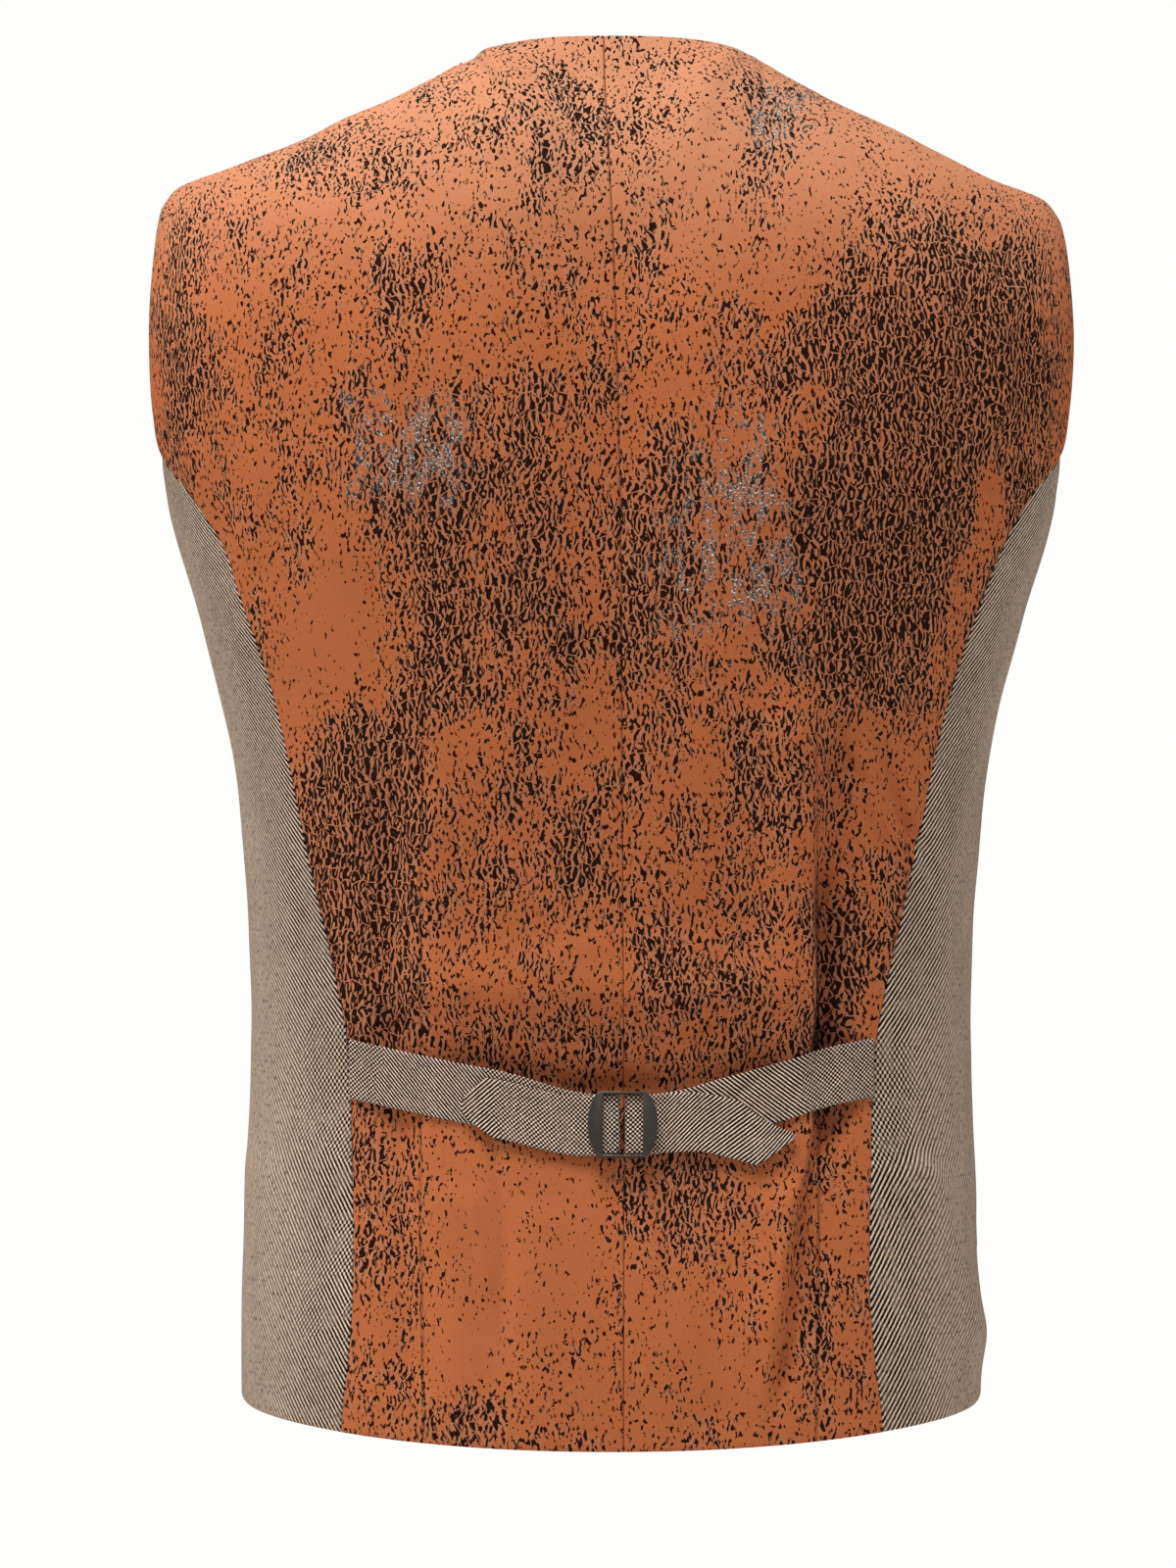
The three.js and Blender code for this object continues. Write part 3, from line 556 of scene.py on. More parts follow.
@dataclass(frozen=True)
class Grid:
    """A sheet of points in rows and columns, with the place of each on the flat cloth."""

    points: Array
    flat: Array
    present: Array

    def quads(self) -> Array:
        """The corners of each cell that is there, as row-by-row numbers.

        Returns:
            Four numbers for each cell.
        """
        rows, count = self.points.shape[:2]
        number = np.arange(rows * count).reshape(rows, count)
        corners = [number[:-1, :-1], number[:-1, 1:], number[1:, 1:], number[1:, :-1]]
        return np.stack(corners, axis=-1)[self.present]


def unit(vectors: Array) -> Array:
    """Vectors brought to a length of one."""
    return vectors / np.maximum(np.linalg.norm(vectors, axis=-1, keepdims=True), 1e-9)


def outward(points: Array, quads: Array) -> Array:
    """The way out of the cloth at each point, from the cells round it.

    Args:
        points: One point for each vertex.
        quads: The corners of each cell, turning so that the cell faces out.

    Returns:
        A unit vector for each vertex.
    """
    across = points[quads[:, 2]] - points[quads[:, 0]]
    up = points[quads[:, 3]] - points[quads[:, 1]]
    face = np.cross(across, up)
    total = np.zeros_like(points)
    for corner in range(4):
        np.add.at(total, quads[:, corner], face)
    return unit(total)


def border_of(quads: Array) -> Array:
    """The vertices on the rim of a sheet.

    Args:
        quads: The corners of each cell.

    Returns:
        Their numbers in rising order.
    """
    edges = np.concatenate([quads[:, [k, (k + 1) % 4]] for k in range(4)])
    pairs, count = np.unique(np.sort(edges, axis=1), axis=0, return_counts=True)
    return np.unique(pairs[count == 1])


def distance_to(points: Array, chosen: Array) -> Array:
    """How far each point is from the nearest of some chosen ones.

    Args:
        points: The places to look at.
        chosen: The numbers of the chosen points.

    Returns:
        The distance for each point.
    """
    tree = kdtree.KDTree(len(chosen))
    for number, point in enumerate(points[chosen]):
        tree.insert(point, number)
    tree.balance()
    return np.array([tree.find(point)[2] for point in points])


@dataclass(frozen=True)
class Shell:
    """A closed thin shell of cloth with rounded rims."""

    name: str
    wall: float
    facing: int
    rim: float = 0.7

    def build(
        self, grid: Grid, relief: Callable[[Array], Array], marks: dict[str, Callable]
    ) -> bpy.types.Object:
        """Makes the shell.

        Args:
            grid: The sheet on the figure, before its folds.
            relief: Gives the distance that the folds move each point out.
            marks: Named numbers to store on the points for the finish, each worked out from the points.

        Returns:
            The object, with its outer face in material slot 0 and its inner face in slot 1.
        """
        quads = grid.quads() if self.facing > 0 else grid.quads()[:, ::-1]
        base = grid.points.reshape(-1, 3)
        out = outward(base, quads)
        points = base + out * relief(base)[:, None]
        out = outward(points, quads)
        border = border_of(quads)
        used = np.unique(quads)
        away = np.zeros(len(points))
        away[used] = distance_to(points[used], np.searchsorted(used, border))
        share = np.clip(1.0 - away / self.rim, 0.0, 1.0)
        drop = self.wall / 2 * (1.0 - np.sqrt(1.0 - share**2))
        outer = points - out * drop[:, None]
        inner = points - out * (self.wall - drop)[:, None]
        inside = np.setdiff1d(used, border)
        number = np.full(len(points), -1)
        number[used] = np.arange(len(used))
        below = number.copy()
        below[inside] = len(used) + np.arange(len(inside))
        vertices = np.concatenate([outer[used], inner[inside]])
        faces = np.concatenate([number[quads], below[quads][:, ::-1]])
        source = np.concatenate([used, inside])
        made = mesh_object(self.name, vertices, faces.tolist(), grid.flat.reshape(-1, 2)[source])
        made.data.polygons.foreach_set("material_index", np.repeat([0, 1], len(quads)))
        for name, rule in marks.items():
            keep_number(made, name, rule(points[source]))
        return made


def keep_number(made: bpy.types.Object, name: str, values: Array) -> None:
    """Stores a named number on each of an object's points, for its finish to read."""
    field = made.data.attributes.new(name, "FLOAT", "POINT")
    field.data.foreach_set("value", values.astype(np.float32))


def mesh_object(name: str, vertices: Array, faces: list[list[int]], flat: Array) -> bpy.types.Object:
    """Makes a smooth mesh object from millimetres above the hem.

    Args:
        name: The object's name.
        vertices: Points as x, y and height above the hem.
        faces: The corners of each face.
        flat: The place of each vertex on the flat cloth, in millimetres.

    Returns:
        The object, at the origin of the solids' frame.
    """
    mesh = bpy.data.meshes.new(name)
    placed = (vertices - np.array([0.0, 0.0, SHOULDER_HEIGHT])) * MM
    mesh.from_pydata(placed.tolist(), [], faces)
    layer = mesh.uv_layers.new(name="cloth")
    corners = np.concatenate([np.asarray(face) for face in faces])
    layer.data.foreach_set("uv", (flat[corners] * MM).astype(np.float32).ravel())
    mesh.shade_smooth()
    mesh.validate()
    made = bpy.data.objects.new(name, mesh)
    bpy.context.scene.collection.objects.link(made)
    return made


def girth(face: Face, x: Array, height: Array) -> tuple[Array, Array]:
    """How far places on the figure are from its middle and from its side line, measured round it.

    Args:
        face: The back or the front.
        x: How far across.
        height: How far up from the hem.

    Returns:
        The distance from the middle and the distance from the side line.
    """
    x, height = np.broadcast_arrays(np.asarray(x, float), np.asarray(height, float))
    power = FIGURE.squareness(face)
    radius = FIGURE.half_width(height)[..., None]
    depth = FIGURE.depth(face, height)[..., None]
    end = np.arcsin(np.minimum(np.abs(x) / radius[..., 0], 1.0) ** (power / 2))

    def length(start: Array, stop: Array) -> Array:
        """The length of the cut between two turns."""
        turn = start[..., None] + (stop - start)[..., None] * np.linspace(0, 1, 33)
        wide = radius * np.abs(np.sin(turn)) ** (2 / power)
        deep = depth * np.abs(np.cos(turn)) ** (2 / power)
        return np.hypot(np.diff(wide), np.diff(deep)).sum(axis=-1)

    return length(np.zeros_like(end), end), length(end, np.full_like(end, math.pi / 2))


@dataclass(frozen=True)
class Columns:
    """Columns of cloth that go up one face of the figure and over the shoulder."""

    face: Face
    x_at: Callable[[Array], Array]
    bottom: Array
    top: Array

    def start(self) -> Array:
        """Where each column leaves the figure."""
        turn = self.top[:, 2] - CUT.rounding
        return FIGURE.point(self.face, self.x_at(turn), turn)

    def length(self) -> Array:
        """How long each column is, straight and curved parts together."""
        straight = self.top[:, 2] - CUT.rounding - self.bottom
        return straight + np.linalg.norm(self.top - self.start(), axis=-1) * CURVE_OVER_CHORD

    def rows(self, share: Array) -> tuple[Array, Array]:
        """Places on the columns.

        Args:
            share: How far up each row is, from 0 to 1.

        Returns:
            A grid of points and a grid of places on the flat cloth.
        """
        turn, start = self.top[:, 2] - CUT.rounding, self.start()
        below = turn - STEP_BELOW_TURN
        rise = unit(start - FIGURE.point(self.face, self.x_at(below), below))
        straight = turn - self.bottom
        curved = self.length() - straight
        far = share[:, None] * self.length()[None, :]
        height = np.minimum(self.bottom + far, turn)
        on_figure = FIGURE.point(self.face, self.x_at(height), height)
        t = np.clip((far - straight) / curved, 0.0, 1.0)
        shape = far.shape + (3,)
        ends = (start, rise, self.top, CUT.arrival(self.face, self.top[:, 0]))
        curve = over_shoulder(*[np.broadcast_to(end, shape) for end in ends], t)
        points = np.where((far > straight)[..., None], curve, on_figure)
        return points, flat_place(self.face, points[..., 0], height, self.bottom + far)


def flat_place(face: Face, x: Array, height: Array, up: Array) -> Array:
    """Where places on the figure lie on the flat cloth, growing to the right as the cloth is seen.

    Args:
        face: The back or the front.
        x: How far across.
        height: The height at which the figure is measured round.
        up: The place up the cloth.

    Returns:
        Pairs of a place across and a place up.
    """
    middle, _ = girth(face, x, height)
    across = -np.sign(x) * middle if face is Face.BACK else np.sign(x) * middle
    return np.stack(np.broadcast_arrays(across, up), axis=-1)


@dataclass(frozen=True)
class BackHalf:
    """One half of the back, from the centre seam to the side seam and the armhole."""

    side: Side
    across: int = 96
    lower: int = 190
    upper: int = 120
    seam_line: float = 0.006
    outer_lines: tuple[float, ...] = (0.0045, 0.015)
    hem_line: float = 0.0022
    top_line: float = 0.0045
    hem_rise: float = 6.0
    hem_reach: float = 117.0

    def grid(self) -> Grid:
        """The half's sheet on the figure.

        Returns:
            The sheet, its columns spread from the centre seam outwards and its rows from the hem up.
        """
        side = self.side.value
        neck = CUT.neck_share(self.side)
        across = shares(self.across, self.seam_line)
        across = np.unique(np.concatenate([across, [neck], 1.0 - np.array(self.outer_lines)]))
        spread = np.sin(across * CUT.back_turn) / math.sin(CUT.back_turn)

        def x_at(height: Array) -> Array:
            """Each column's place across at a height."""
            return mix(CUT.centre_seam(height), side * CUT.back_edge(height), spread)

        bottom = self.hem_rise * (np.abs(x_at(np.zeros_like(spread))) / self.hem_reach) ** 2
        low = shares(self.lower, self.hem_line, (True, False))[:, None]
        height = mix(bottom, CUT.armhole_corner, low)
        lower = FIGURE.point(Face.BACK, x_at(height), height)
        flat = flat_place(Face.BACK, lower[..., 0], height, height)
        corner = np.full_like(spread, CUT.armhole_corner)
        top = CUT.back_top(self.side, across)
        high = shares(self.upper, self.top_line, (False, True))
        upper, upper_flat = Columns(Face.BACK, x_at, corner, top).rows(high[1:])
        points = np.concatenate([lower, upper])
        present = np.ones((len(points) - 1, len(across) - 1), bool)
        return Grid(points, np.concatenate([flat, upper_flat]), present)


@dataclass(frozen=True)
class FrontPiece:
    """One front, from the seam at the back, round the side, to the front edge."""

    side: Side
    drop: float = 0.0
    around: int = 58
    across: int = 60
    lower: int = 150
    upper: int = 110
    hem_line: float = 0.0025
    top_line: float = 0.0045
    seam_line: float = 0.008
    edge_line: float = 0.007
    chest_turn: float = 0.6
    lap_reach: tuple[float, float] = (30, 62)
    lap_top: tuple[float, float] = (330, 430)

    def side_block(self, share: Array, up: Array) -> tuple[Array, Array]:
        """The part that wraps round the side, below the armhole.

        Args:
            share: How far round each column is, from the back seam to the armhole line.
            up: How far up each row is, from the hem to the armhole.

        Returns:
            A grid of points and a grid of places on the flat cloth.
        """
        side = self.side.value
        height = mix(CUT.side_hem(share), CUT.armhole_bottom(share), up[:, None])
        radius = FIGURE.half_width(height)
        back_power, front_power = FIGURE.back_squareness, FIGURE.front_squareness
        start = np.arcsin(np.minimum(CUT.back_edge(height) / radius, 1.0) ** (back_power / 2))
        stop = math.pi - np.arcsin(np.minimum(CUT.armhole_front(height) / radius, 1.0) ** (front_power / 2))
        turn = mix(start[..., None], stop[..., None], np.linspace(0, 1, STEPS_ROUND + 1))
        behind = turn < math.pi / 2
        power = np.where(behind, 2 / back_power, 2 / front_power)
        back, front = FIGURE.depth(Face.BACK, height), FIGURE.depth(Face.FRONT, height)
        depth = np.where(behind, back[..., None], front[..., None])
        wide = side * radius[..., None] * np.sin(turn) ** power
        deep = depth * np.abs(np.cos(turn)) ** power
        lengths = np.hypot(np.diff(wide), np.diff(deep))
        total = np.concatenate([np.zeros(height.shape + (1,)), np.cumsum(lengths, axis=-1)], axis=-1)
        wanted = share * total[..., -1]
        after = np.clip((total < wanted[..., None]).sum(axis=-1), 1, STEPS_ROUND)[..., None]
        first, last = (np.take_along_axis(total, after - k, axis=-1)[..., 0] for k in (1, 0))
        part = (wanted - first) / (last - first)
        x, y = (
            mix(*(np.take_along_axis(line, after - k, axis=-1)[..., 0] for k in (1, 0)), part)
            for line in (wide, deep)
        )
        points = np.stack([x, y, height], axis=-1)
        _, behind_side = girth(Face.BACK, x, height)
        _, before_side = girth(Face.FRONT, x, height)
        around = np.where(y > 0, -behind_side, before_side)
        return points, np.stack([-side * around, height], axis=-1)

    def front_block(self, share: Array, low: Array, high: Array) -> tuple[Array, Array]:
        """The part in front of the armhole, up to the shoulder.

        Args:
            share: How far across each column is, from the armhole line to the front edge.
            low: How far up each row is below the chest line, from 0 to 1.
            high: How far up each row is above it.

        Returns:
            A grid of points and a grid of places on the flat cloth.
        """
        side = self.side.value
        gather = 1.0 - np.sin((1.0 - share) * CUT.front_turn) / math.sin(CUT.front_turn)

        def x_at(height: Array) -> Array:
            """Each column's place across at a height."""
            return side * mix(CUT.armhole_front(height), CUT.front_edge(height), gather)

        chest = mix(float(CUT.armhole_bottom(1.0)), CUT.chest_line, smooth(share, 0, self.chest_turn))
        bottom = CUT.front_hem(side * x_at(np.zeros_like(share)))
        height = mix(bottom, chest, low[:, None])
        lower = FIGURE.point(Face.FRONT, x_at(height), height)
        top = CUT.shoulder_seam(self.side, 1.0 - share)
        run = Columns(Face.FRONT, x_at, chest, top)
        points = np.concatenate([lower, run.rows(high)[0]])
        far = high[:, None] * run.length()
        level = np.concatenate([height, np.minimum(chest + far, top[:, 2] - CUT.rounding)])
        _, from_side = girth(Face.FRONT, points[..., 0], level)
        up = np.concatenate([height, chest + far])
        near_edge = 1.0 - smooth(np.abs(points[..., 0]), *self.lap_reach)
        below_neck = 1.0 - smooth(points[..., 2], *self.lap_top)
        points[..., 1] += self.drop * near_edge * below_neck
        return points, np.stack([-side * from_side, up], axis=-1)

    def grid(self) -> Grid:
        """The front's sheet on the figure.

        Returns:
            The sheet, its side block and its front block side by side.
        """
        low = shares(self.lower, self.hem_line, (True, False))
        high = shares(self.upper, self.top_line, (False, True))
        around = shares(self.around, self.seam_line, (True, False))
        across = shares(self.across, self.edge_line)
        side_points, side_flat = self.side_block(around[:-1], low)
        front_points, front_flat = self.front_block(across, low, high[1:])
        filler = len(high) - 1
        pad = ((0, filler), (0, 0), (0, 0))
        points = np.concatenate([np.pad(side_points, pad, mode="edge"), front_points], axis=1)
        flat = np.concatenate([np.pad(side_flat, pad, mode="edge"), front_flat], axis=1)
        present = np.ones((points.shape[0] - 1, points.shape[1] - 1), bool)
        present[len(low) - 1 :, : len(around) - 1] = False
        return Grid(points, flat, present)


def off_back(x: Array, height: Array, lift: Array) -> tuple[Array, Array, Array]:
    """Places some way out from the back of the figure.

    Args:
        x: How far across.
        height: How far up from the hem.
        lift: How far out.

    Returns:
        The points, the way out and the way up the back.
    """
    base = FIGURE.point(Face.BACK, x, height)
    across = FIGURE.point(Face.BACK, x + 0.5, height) - FIGURE.point(Face.BACK, x - 0.5, height)
    up = FIGURE.point(Face.BACK, x, height + 2) - FIGURE.point(Face.BACK, x, height - 2)
    out = unit(np.cross(up, across))
    return base + out * np.asarray(lift)[..., None], out, unit(up)


@dataclass(frozen=True)
class Strap:
    """One cinch strap: a run from the side seam, a loop round its buckle bar and a pointed tail on top."""

    name: str
    side: Side
    end: Line
    sink: Line
    dents: tuple[Fold, ...] = ()
    run_steps: int = 110
    bend_steps: int = 14
    tail_steps: int = 80
    flat_lines: int = 17
    edge_lines: int = 5
    corner: float = 0.94
    pucker: float = 0.2
    pucker_long: float = 17.0
    pucker_short: float = 6.1
    pucker_slant: float = 2.2
    pucker_turn: float = 0.6
    pucker_drift: float = 0.002

    def bar_x(self) -> float:
        """Where the strap turns round its bar."""
        return STRAP.buckle_x + self.side.value * STRAP.bar_spacing / 2

    def ring(self) -> Array:
        """The strap's cut.

        Returns:
            Pairs of a place across and a place through, each from -1 to 1.
        """
        flat = np.linspace(-self.corner, self.corner, self.flat_lines)
        turn = np.linspace(math.pi / 2, -math.pi / 2, self.edge_lines + 2)[1:-1]
        end = np.stack([self.corner + (1.0 - self.corner) * np.cos(turn), np.sin(turn)], axis=-1)
        top = np.stack([flat, np.ones_like(flat)], axis=-1)
        return np.concatenate([top, end, -top, -end])

    def lines(self, across: Array) -> tuple[Array, Array, Array]:
        """Lines along the strap's middle surface, beneath from the seam, round the bar and back on top.

        Args:
            across: Where each line is across the strap, from -1 to 1.

        Returns:
            The place across the back, the lift off it and the sinking of each line's stations.
        """
        bar, low, radius = self.bar_x(), STRAP.low(), STRAP.bar_lift / 2
        run_x = np.linspace(self.side.value * STRAP.seam_x, bar, self.run_steps + 1)
        turn = np.linspace(0, math.pi, self.bend_steps + 1)[1:-1]
        bend_x = bar - self.side.value * radius * np.sin(turn)
        share = np.linspace(0, 1, self.tail_steps + 1)
        tail_x = mix(bar, self.end(across)[:, None], share)
        near_bar = 1.0 - smooth(np.abs(tail_x - bar), *STRAP.beside_bar)
        before_x = np.broadcast_to(np.concatenate([run_x, bend_x]), (len(across), len(run_x) + len(bend_x)))
        before = np.concatenate([np.full_like(run_x, low), low + radius * (1.0 - np.cos(turn))])
        tail_lift = low + mix(STRAP.layer, STRAP.bar_lift, near_bar)
        return (
            np.concatenate([before_x, tail_x], axis=1),
            np.concatenate([np.broadcast_to(before, before_x.shape), tail_lift], axis=1),
            np.concatenate([np.zeros(before_x.shape), self.sink(tail_x)], axis=1),
        )

    def build(self, weave: "Weave") -> bpy.types.Object:
        """Makes the strap's closed ribbon.

        Args:
            weave: Where its yarns check.

        Returns:
            The object.
        """
        ring = self.ring()
        across, through = ring[:, 0], ring[:, 1:]
        x, lift, drop = self.lines(across)
        near = 1.0 - smooth(np.abs(x - STRAP.buckle_x), *STRAP.beside_buckle)
        middle = STRAP.middle(x) - drop
        rise = across[:, None] * STRAP.half
        stand = lift + STRAP.stand * near
        curved, _, _ = off_back(x, middle + rise, stand)
        level, _, up = off_back(x, middle, stand)
        centre = mix(curved, level + up * rise[..., None], near[..., None])
        along = unit(np.gradient(centre, axis=1))
        out = unit(np.cross(along, np.array([0.0, 0.0, 1.0]))) * self.side.value
        station = np.arange(x.shape[1])
        wave = np.sin(x / self.pucker_short + self.pucker_slant * across[:, None])
        wave *= np.sin(x / self.pucker_long + self.pucker_turn + self.pucker_drift * station)
        beneath = station < self.run_steps
        dent = sum((RELIEF.along(fold, x, middle + rise) for fold in self.dents), np.zeros_like(x))
        shift = self.pucker * wave * (1.0 - near) + np.where(beneath, -dent, 0.0)
        points = centre + out * ((STRAP.wall / 2) * through + shift)[..., None]
        steps = np.linalg.norm(np.diff(centre, axis=1), axis=-1)
        far = np.concatenate([np.zeros((len(ring), 1)), np.cumsum(steps, axis=1)], axis=1)
        flat = np.stack(np.broadcast_arrays(-self.side.value * far, rise), axis=-1)
        made = self.skin(points, flat)
        keep_number(made, "checks", weave.checks(points.reshape(-1, 3)))
        return made

    def skin(self, points: Array, flat: Array) -> bpy.types.Object:
        """Joins the lines into a closed ribbon.

        Args:
            points: A line for each place of the ring.
            flat: The place of each point on the flat cloth.

        Returns:
            The object, its two ends closed by strips between its upper and lower face.
        """
        rings, stations = points.shape[:2]
        number = np.arange(rings * stations).reshape(rings, stations)
        ahead = np.roll(number, -1, axis=0)
        corners = [number[:, :-1], number[:, 1:], ahead[:, 1:], ahead[:, :-1]]
        faces = np.stack(corners, axis=-1).reshape(-1, 4)
        half, turn = rings // 2, self.edge_lines // 2
        upper = np.roll(np.arange(rings), turn + 1)[: half + 1]
        lower = np.concatenate([upper[:1], np.roll(np.arange(rings), turn + 1)[half:][::-1]])
        caps = []
        for end, flip in ((0, 1), (stations - 1, -1)):
            for k in range(half):
                corners = [upper[k], upper[k + 1], lower[k + 1], lower[k]]
                ids = list(dict.fromkeys(int(number[c, end]) for c in corners))
                caps.append(ids[::flip])
        whole = faces.tolist() + caps
        made = mesh_object(self.name, points.reshape(-1, 3), whole, flat.reshape(-1, 2))
        edit = bmesh.new()
        edit.from_mesh(made.data)
        bmesh.ops.recalc_face_normals(edit, faces=edit.faces)
        edit.to_mesh(made.data)
        edit.free()
        return made


def select_only(made: bpy.types.Object) -> None:
    """Makes one object the only one chosen, and the active one."""
    bpy.ops.object.select_all(action="DESELECT")
    made.select_set(True)
    bpy.context.view_layer.objects.active = made


def bake(made: bpy.types.Object, matrix: Matrix) -> None:
    """Moves an object's points by a matrix and leaves the object itself at the origin."""
    made.data.transform(matrix @ made.matrix_world)
    made.matrix_world = Matrix.Identity(4)


def soften(made: bpy.types.Object, width: float, segments: int = 3) -> None:
    """Rounds an object's edges and shades it smooth.

    Args:
        made: The object.
        width: How wide the rounding is, in metres.
        segments: How many steps it has.
    """
    select_only(made)
    rounding = made.modifiers.new("rounding", "BEVEL")
    rounding.width, rounding.segments, rounding.limit_method = width, segments, "ANGLE"
    bpy.ops.object.modifier_apply(modifier=rounding.name)
    bpy.ops.object.shade_smooth_by_angle(angle=math.radians(40))


def seat(point: Array, out: Array) -> Matrix:
    """The matrix that sets a thing made flat, with +Z out of it, on the cloth.

    Args:
        point: Where it goes, in millimetres above the hem.
        out: The way out of the cloth there.

    Returns:
        The matrix, in metres in the frame of the solids.
    """
    way = Vector(out)
    up = way.cross(Vector((-1.0, 0.0, 0.0))).normalized()
    level = up.cross(way).normalized()
    place = (Vector(point) - Vector((0.0, 0.0, SHOULDER_HEIGHT))) * MM
    return Matrix.Translation(place) @ Matrix((level, up, way)).transposed().to_4x4()


def join(parts: list[bpy.types.Object], name: str) -> bpy.types.Object:
    """Joins objects into the first of them and names it.

    Args:
        parts: The objects.
        name: The name of the whole.

    Returns:
        The whole.
    """
    bpy.ops.object.select_all(action="DESELECT")
    for part in parts:
        part.select_set(True)
    bpy.context.view_layer.objects.active = parts[0]
    bpy.ops.object.join()
    parts[0].name = parts[0].data.name = name
    return parts[0]


@dataclass(frozen=True)
class Buckle:
    """The cinch buckle: two crescent bows on two rails, with a bar for each strap."""

    bow_width: float = 6.6
    bow_from: float = 8.5
    bow_thickness: float = 1.4
    half: float = 13.1
    rail: float = 1.0
    reach: float = 9.9
    bar_lift: float = 2.8
    bow_lift: float = 6.0
    bar_radius: float = 0.7
    rail_below: float = 0.6
    bow_rounding: float = 0.5
    rail_rounding: float = 0.35
    bar_rounding: float = 0.15

    def bow(self, side: int) -> bpy.types.Object:
        """One crescent, cut from an oval plate, thickened and rounded.

        Args:
            side: 1 or -1, the way its round edge points.

        Returns:
            The crescent.
        """
        bpy.ops.mesh.primitive_circle_add(vertices=72, radius=1.0, fill_type="NGON", enter_editmode=True)
        bpy.ops.transform.resize(value=(self.bow_width * MM, (self.half + self.rail) * MM, 1.0))
        bpy.ops.mesh.select_all(action="SELECT")
        bpy.ops.mesh.bisect(
            plane_co=(0, 0, 0), plane_no=(side, 0, 0), use_fill=False, clear_inner=True, clear_outer=False
        )
        bpy.ops.mesh.select_all(action="SELECT")
        bpy.ops.mesh.extrude_region_move(TRANSFORM_OT_translate={"value": (0, 0, self.bow_thickness * MM)})
        bpy.ops.mesh.select_all(action="SELECT")
        bpy.ops.mesh.normals_make_consistent(inside=False)
        bpy.ops.transform.translate(value=(side * self.bow_from * MM, 0, self.bow_lift * MM))
        bpy.ops.object.mode_set(mode="OBJECT")
        made = bpy.context.object
        soften(made, self.bow_rounding * MM)
        return made

    def rail_at(self, end: int) -> bpy.types.Object:
        """One rail across the strap's edge.

        Args:
            end: 1 for the upper end, -1 for the lower.

        Returns:
            The rail.
        """
        low = self.bar_lift - self.rail_below
        high = self.bow_lift + self.bow_thickness
        bpy.ops.mesh.primitive_cube_add(size=1.0, enter_editmode=True)
        bpy.ops.transform.resize(value=(self.reach * 2 * MM, self.rail * MM, (high - low) * MM))
        shift = (0, end * (self.half + self.rail / 2) * MM, (low + high) / 2 * MM)
        bpy.ops.transform.translate(value=shift)
        bpy.ops.object.mode_set(mode="OBJECT")
        made = bpy.context.object
        soften(made, self.rail_rounding * MM)
        return made

    def bar(self, side: int) -> bpy.types.Object:
        """The round bar that one strap turns about.

        Args:
            side: 1 or -1, the strap it is for.

        Returns:
            The bar.
        """
        bpy.ops.mesh.primitive_cylinder_add(
            vertices=24, radius=self.bar_radius * MM,
            depth=(self.half * 2 + self.rail) * MM, enter_editmode=True,
        )
        bpy.ops.transform.rotate(value=math.pi / 2, orient_axis="X")
        bpy.ops.transform.translate(value=(side * STRAP.bar_spacing / 2 * MM, 0, self.bar_lift * MM))
        bpy.ops.object.mode_set(mode="OBJECT")
        made = bpy.context.object
        soften(made, self.bar_rounding * MM)
        return made

    def build(self) -> bpy.types.Object:
        """Makes the buckle and sets it on the back.

        Returns:
            The object.
        """
        parts = [self.bow(side) for side in (1, -1)]
        parts += [self.rail_at(end) for end in (1, -1)]
        parts += [self.bar(side) for side in (1, -1)]
        made = join(parts, "buckle")
        x, height = np.array(STRAP.buckle_x), np.array(STRAP.buckle_height)
        point, out, _ = off_back(x, height, np.array(STRAP.stand))
        bake(made, seat(point, out))
        return made


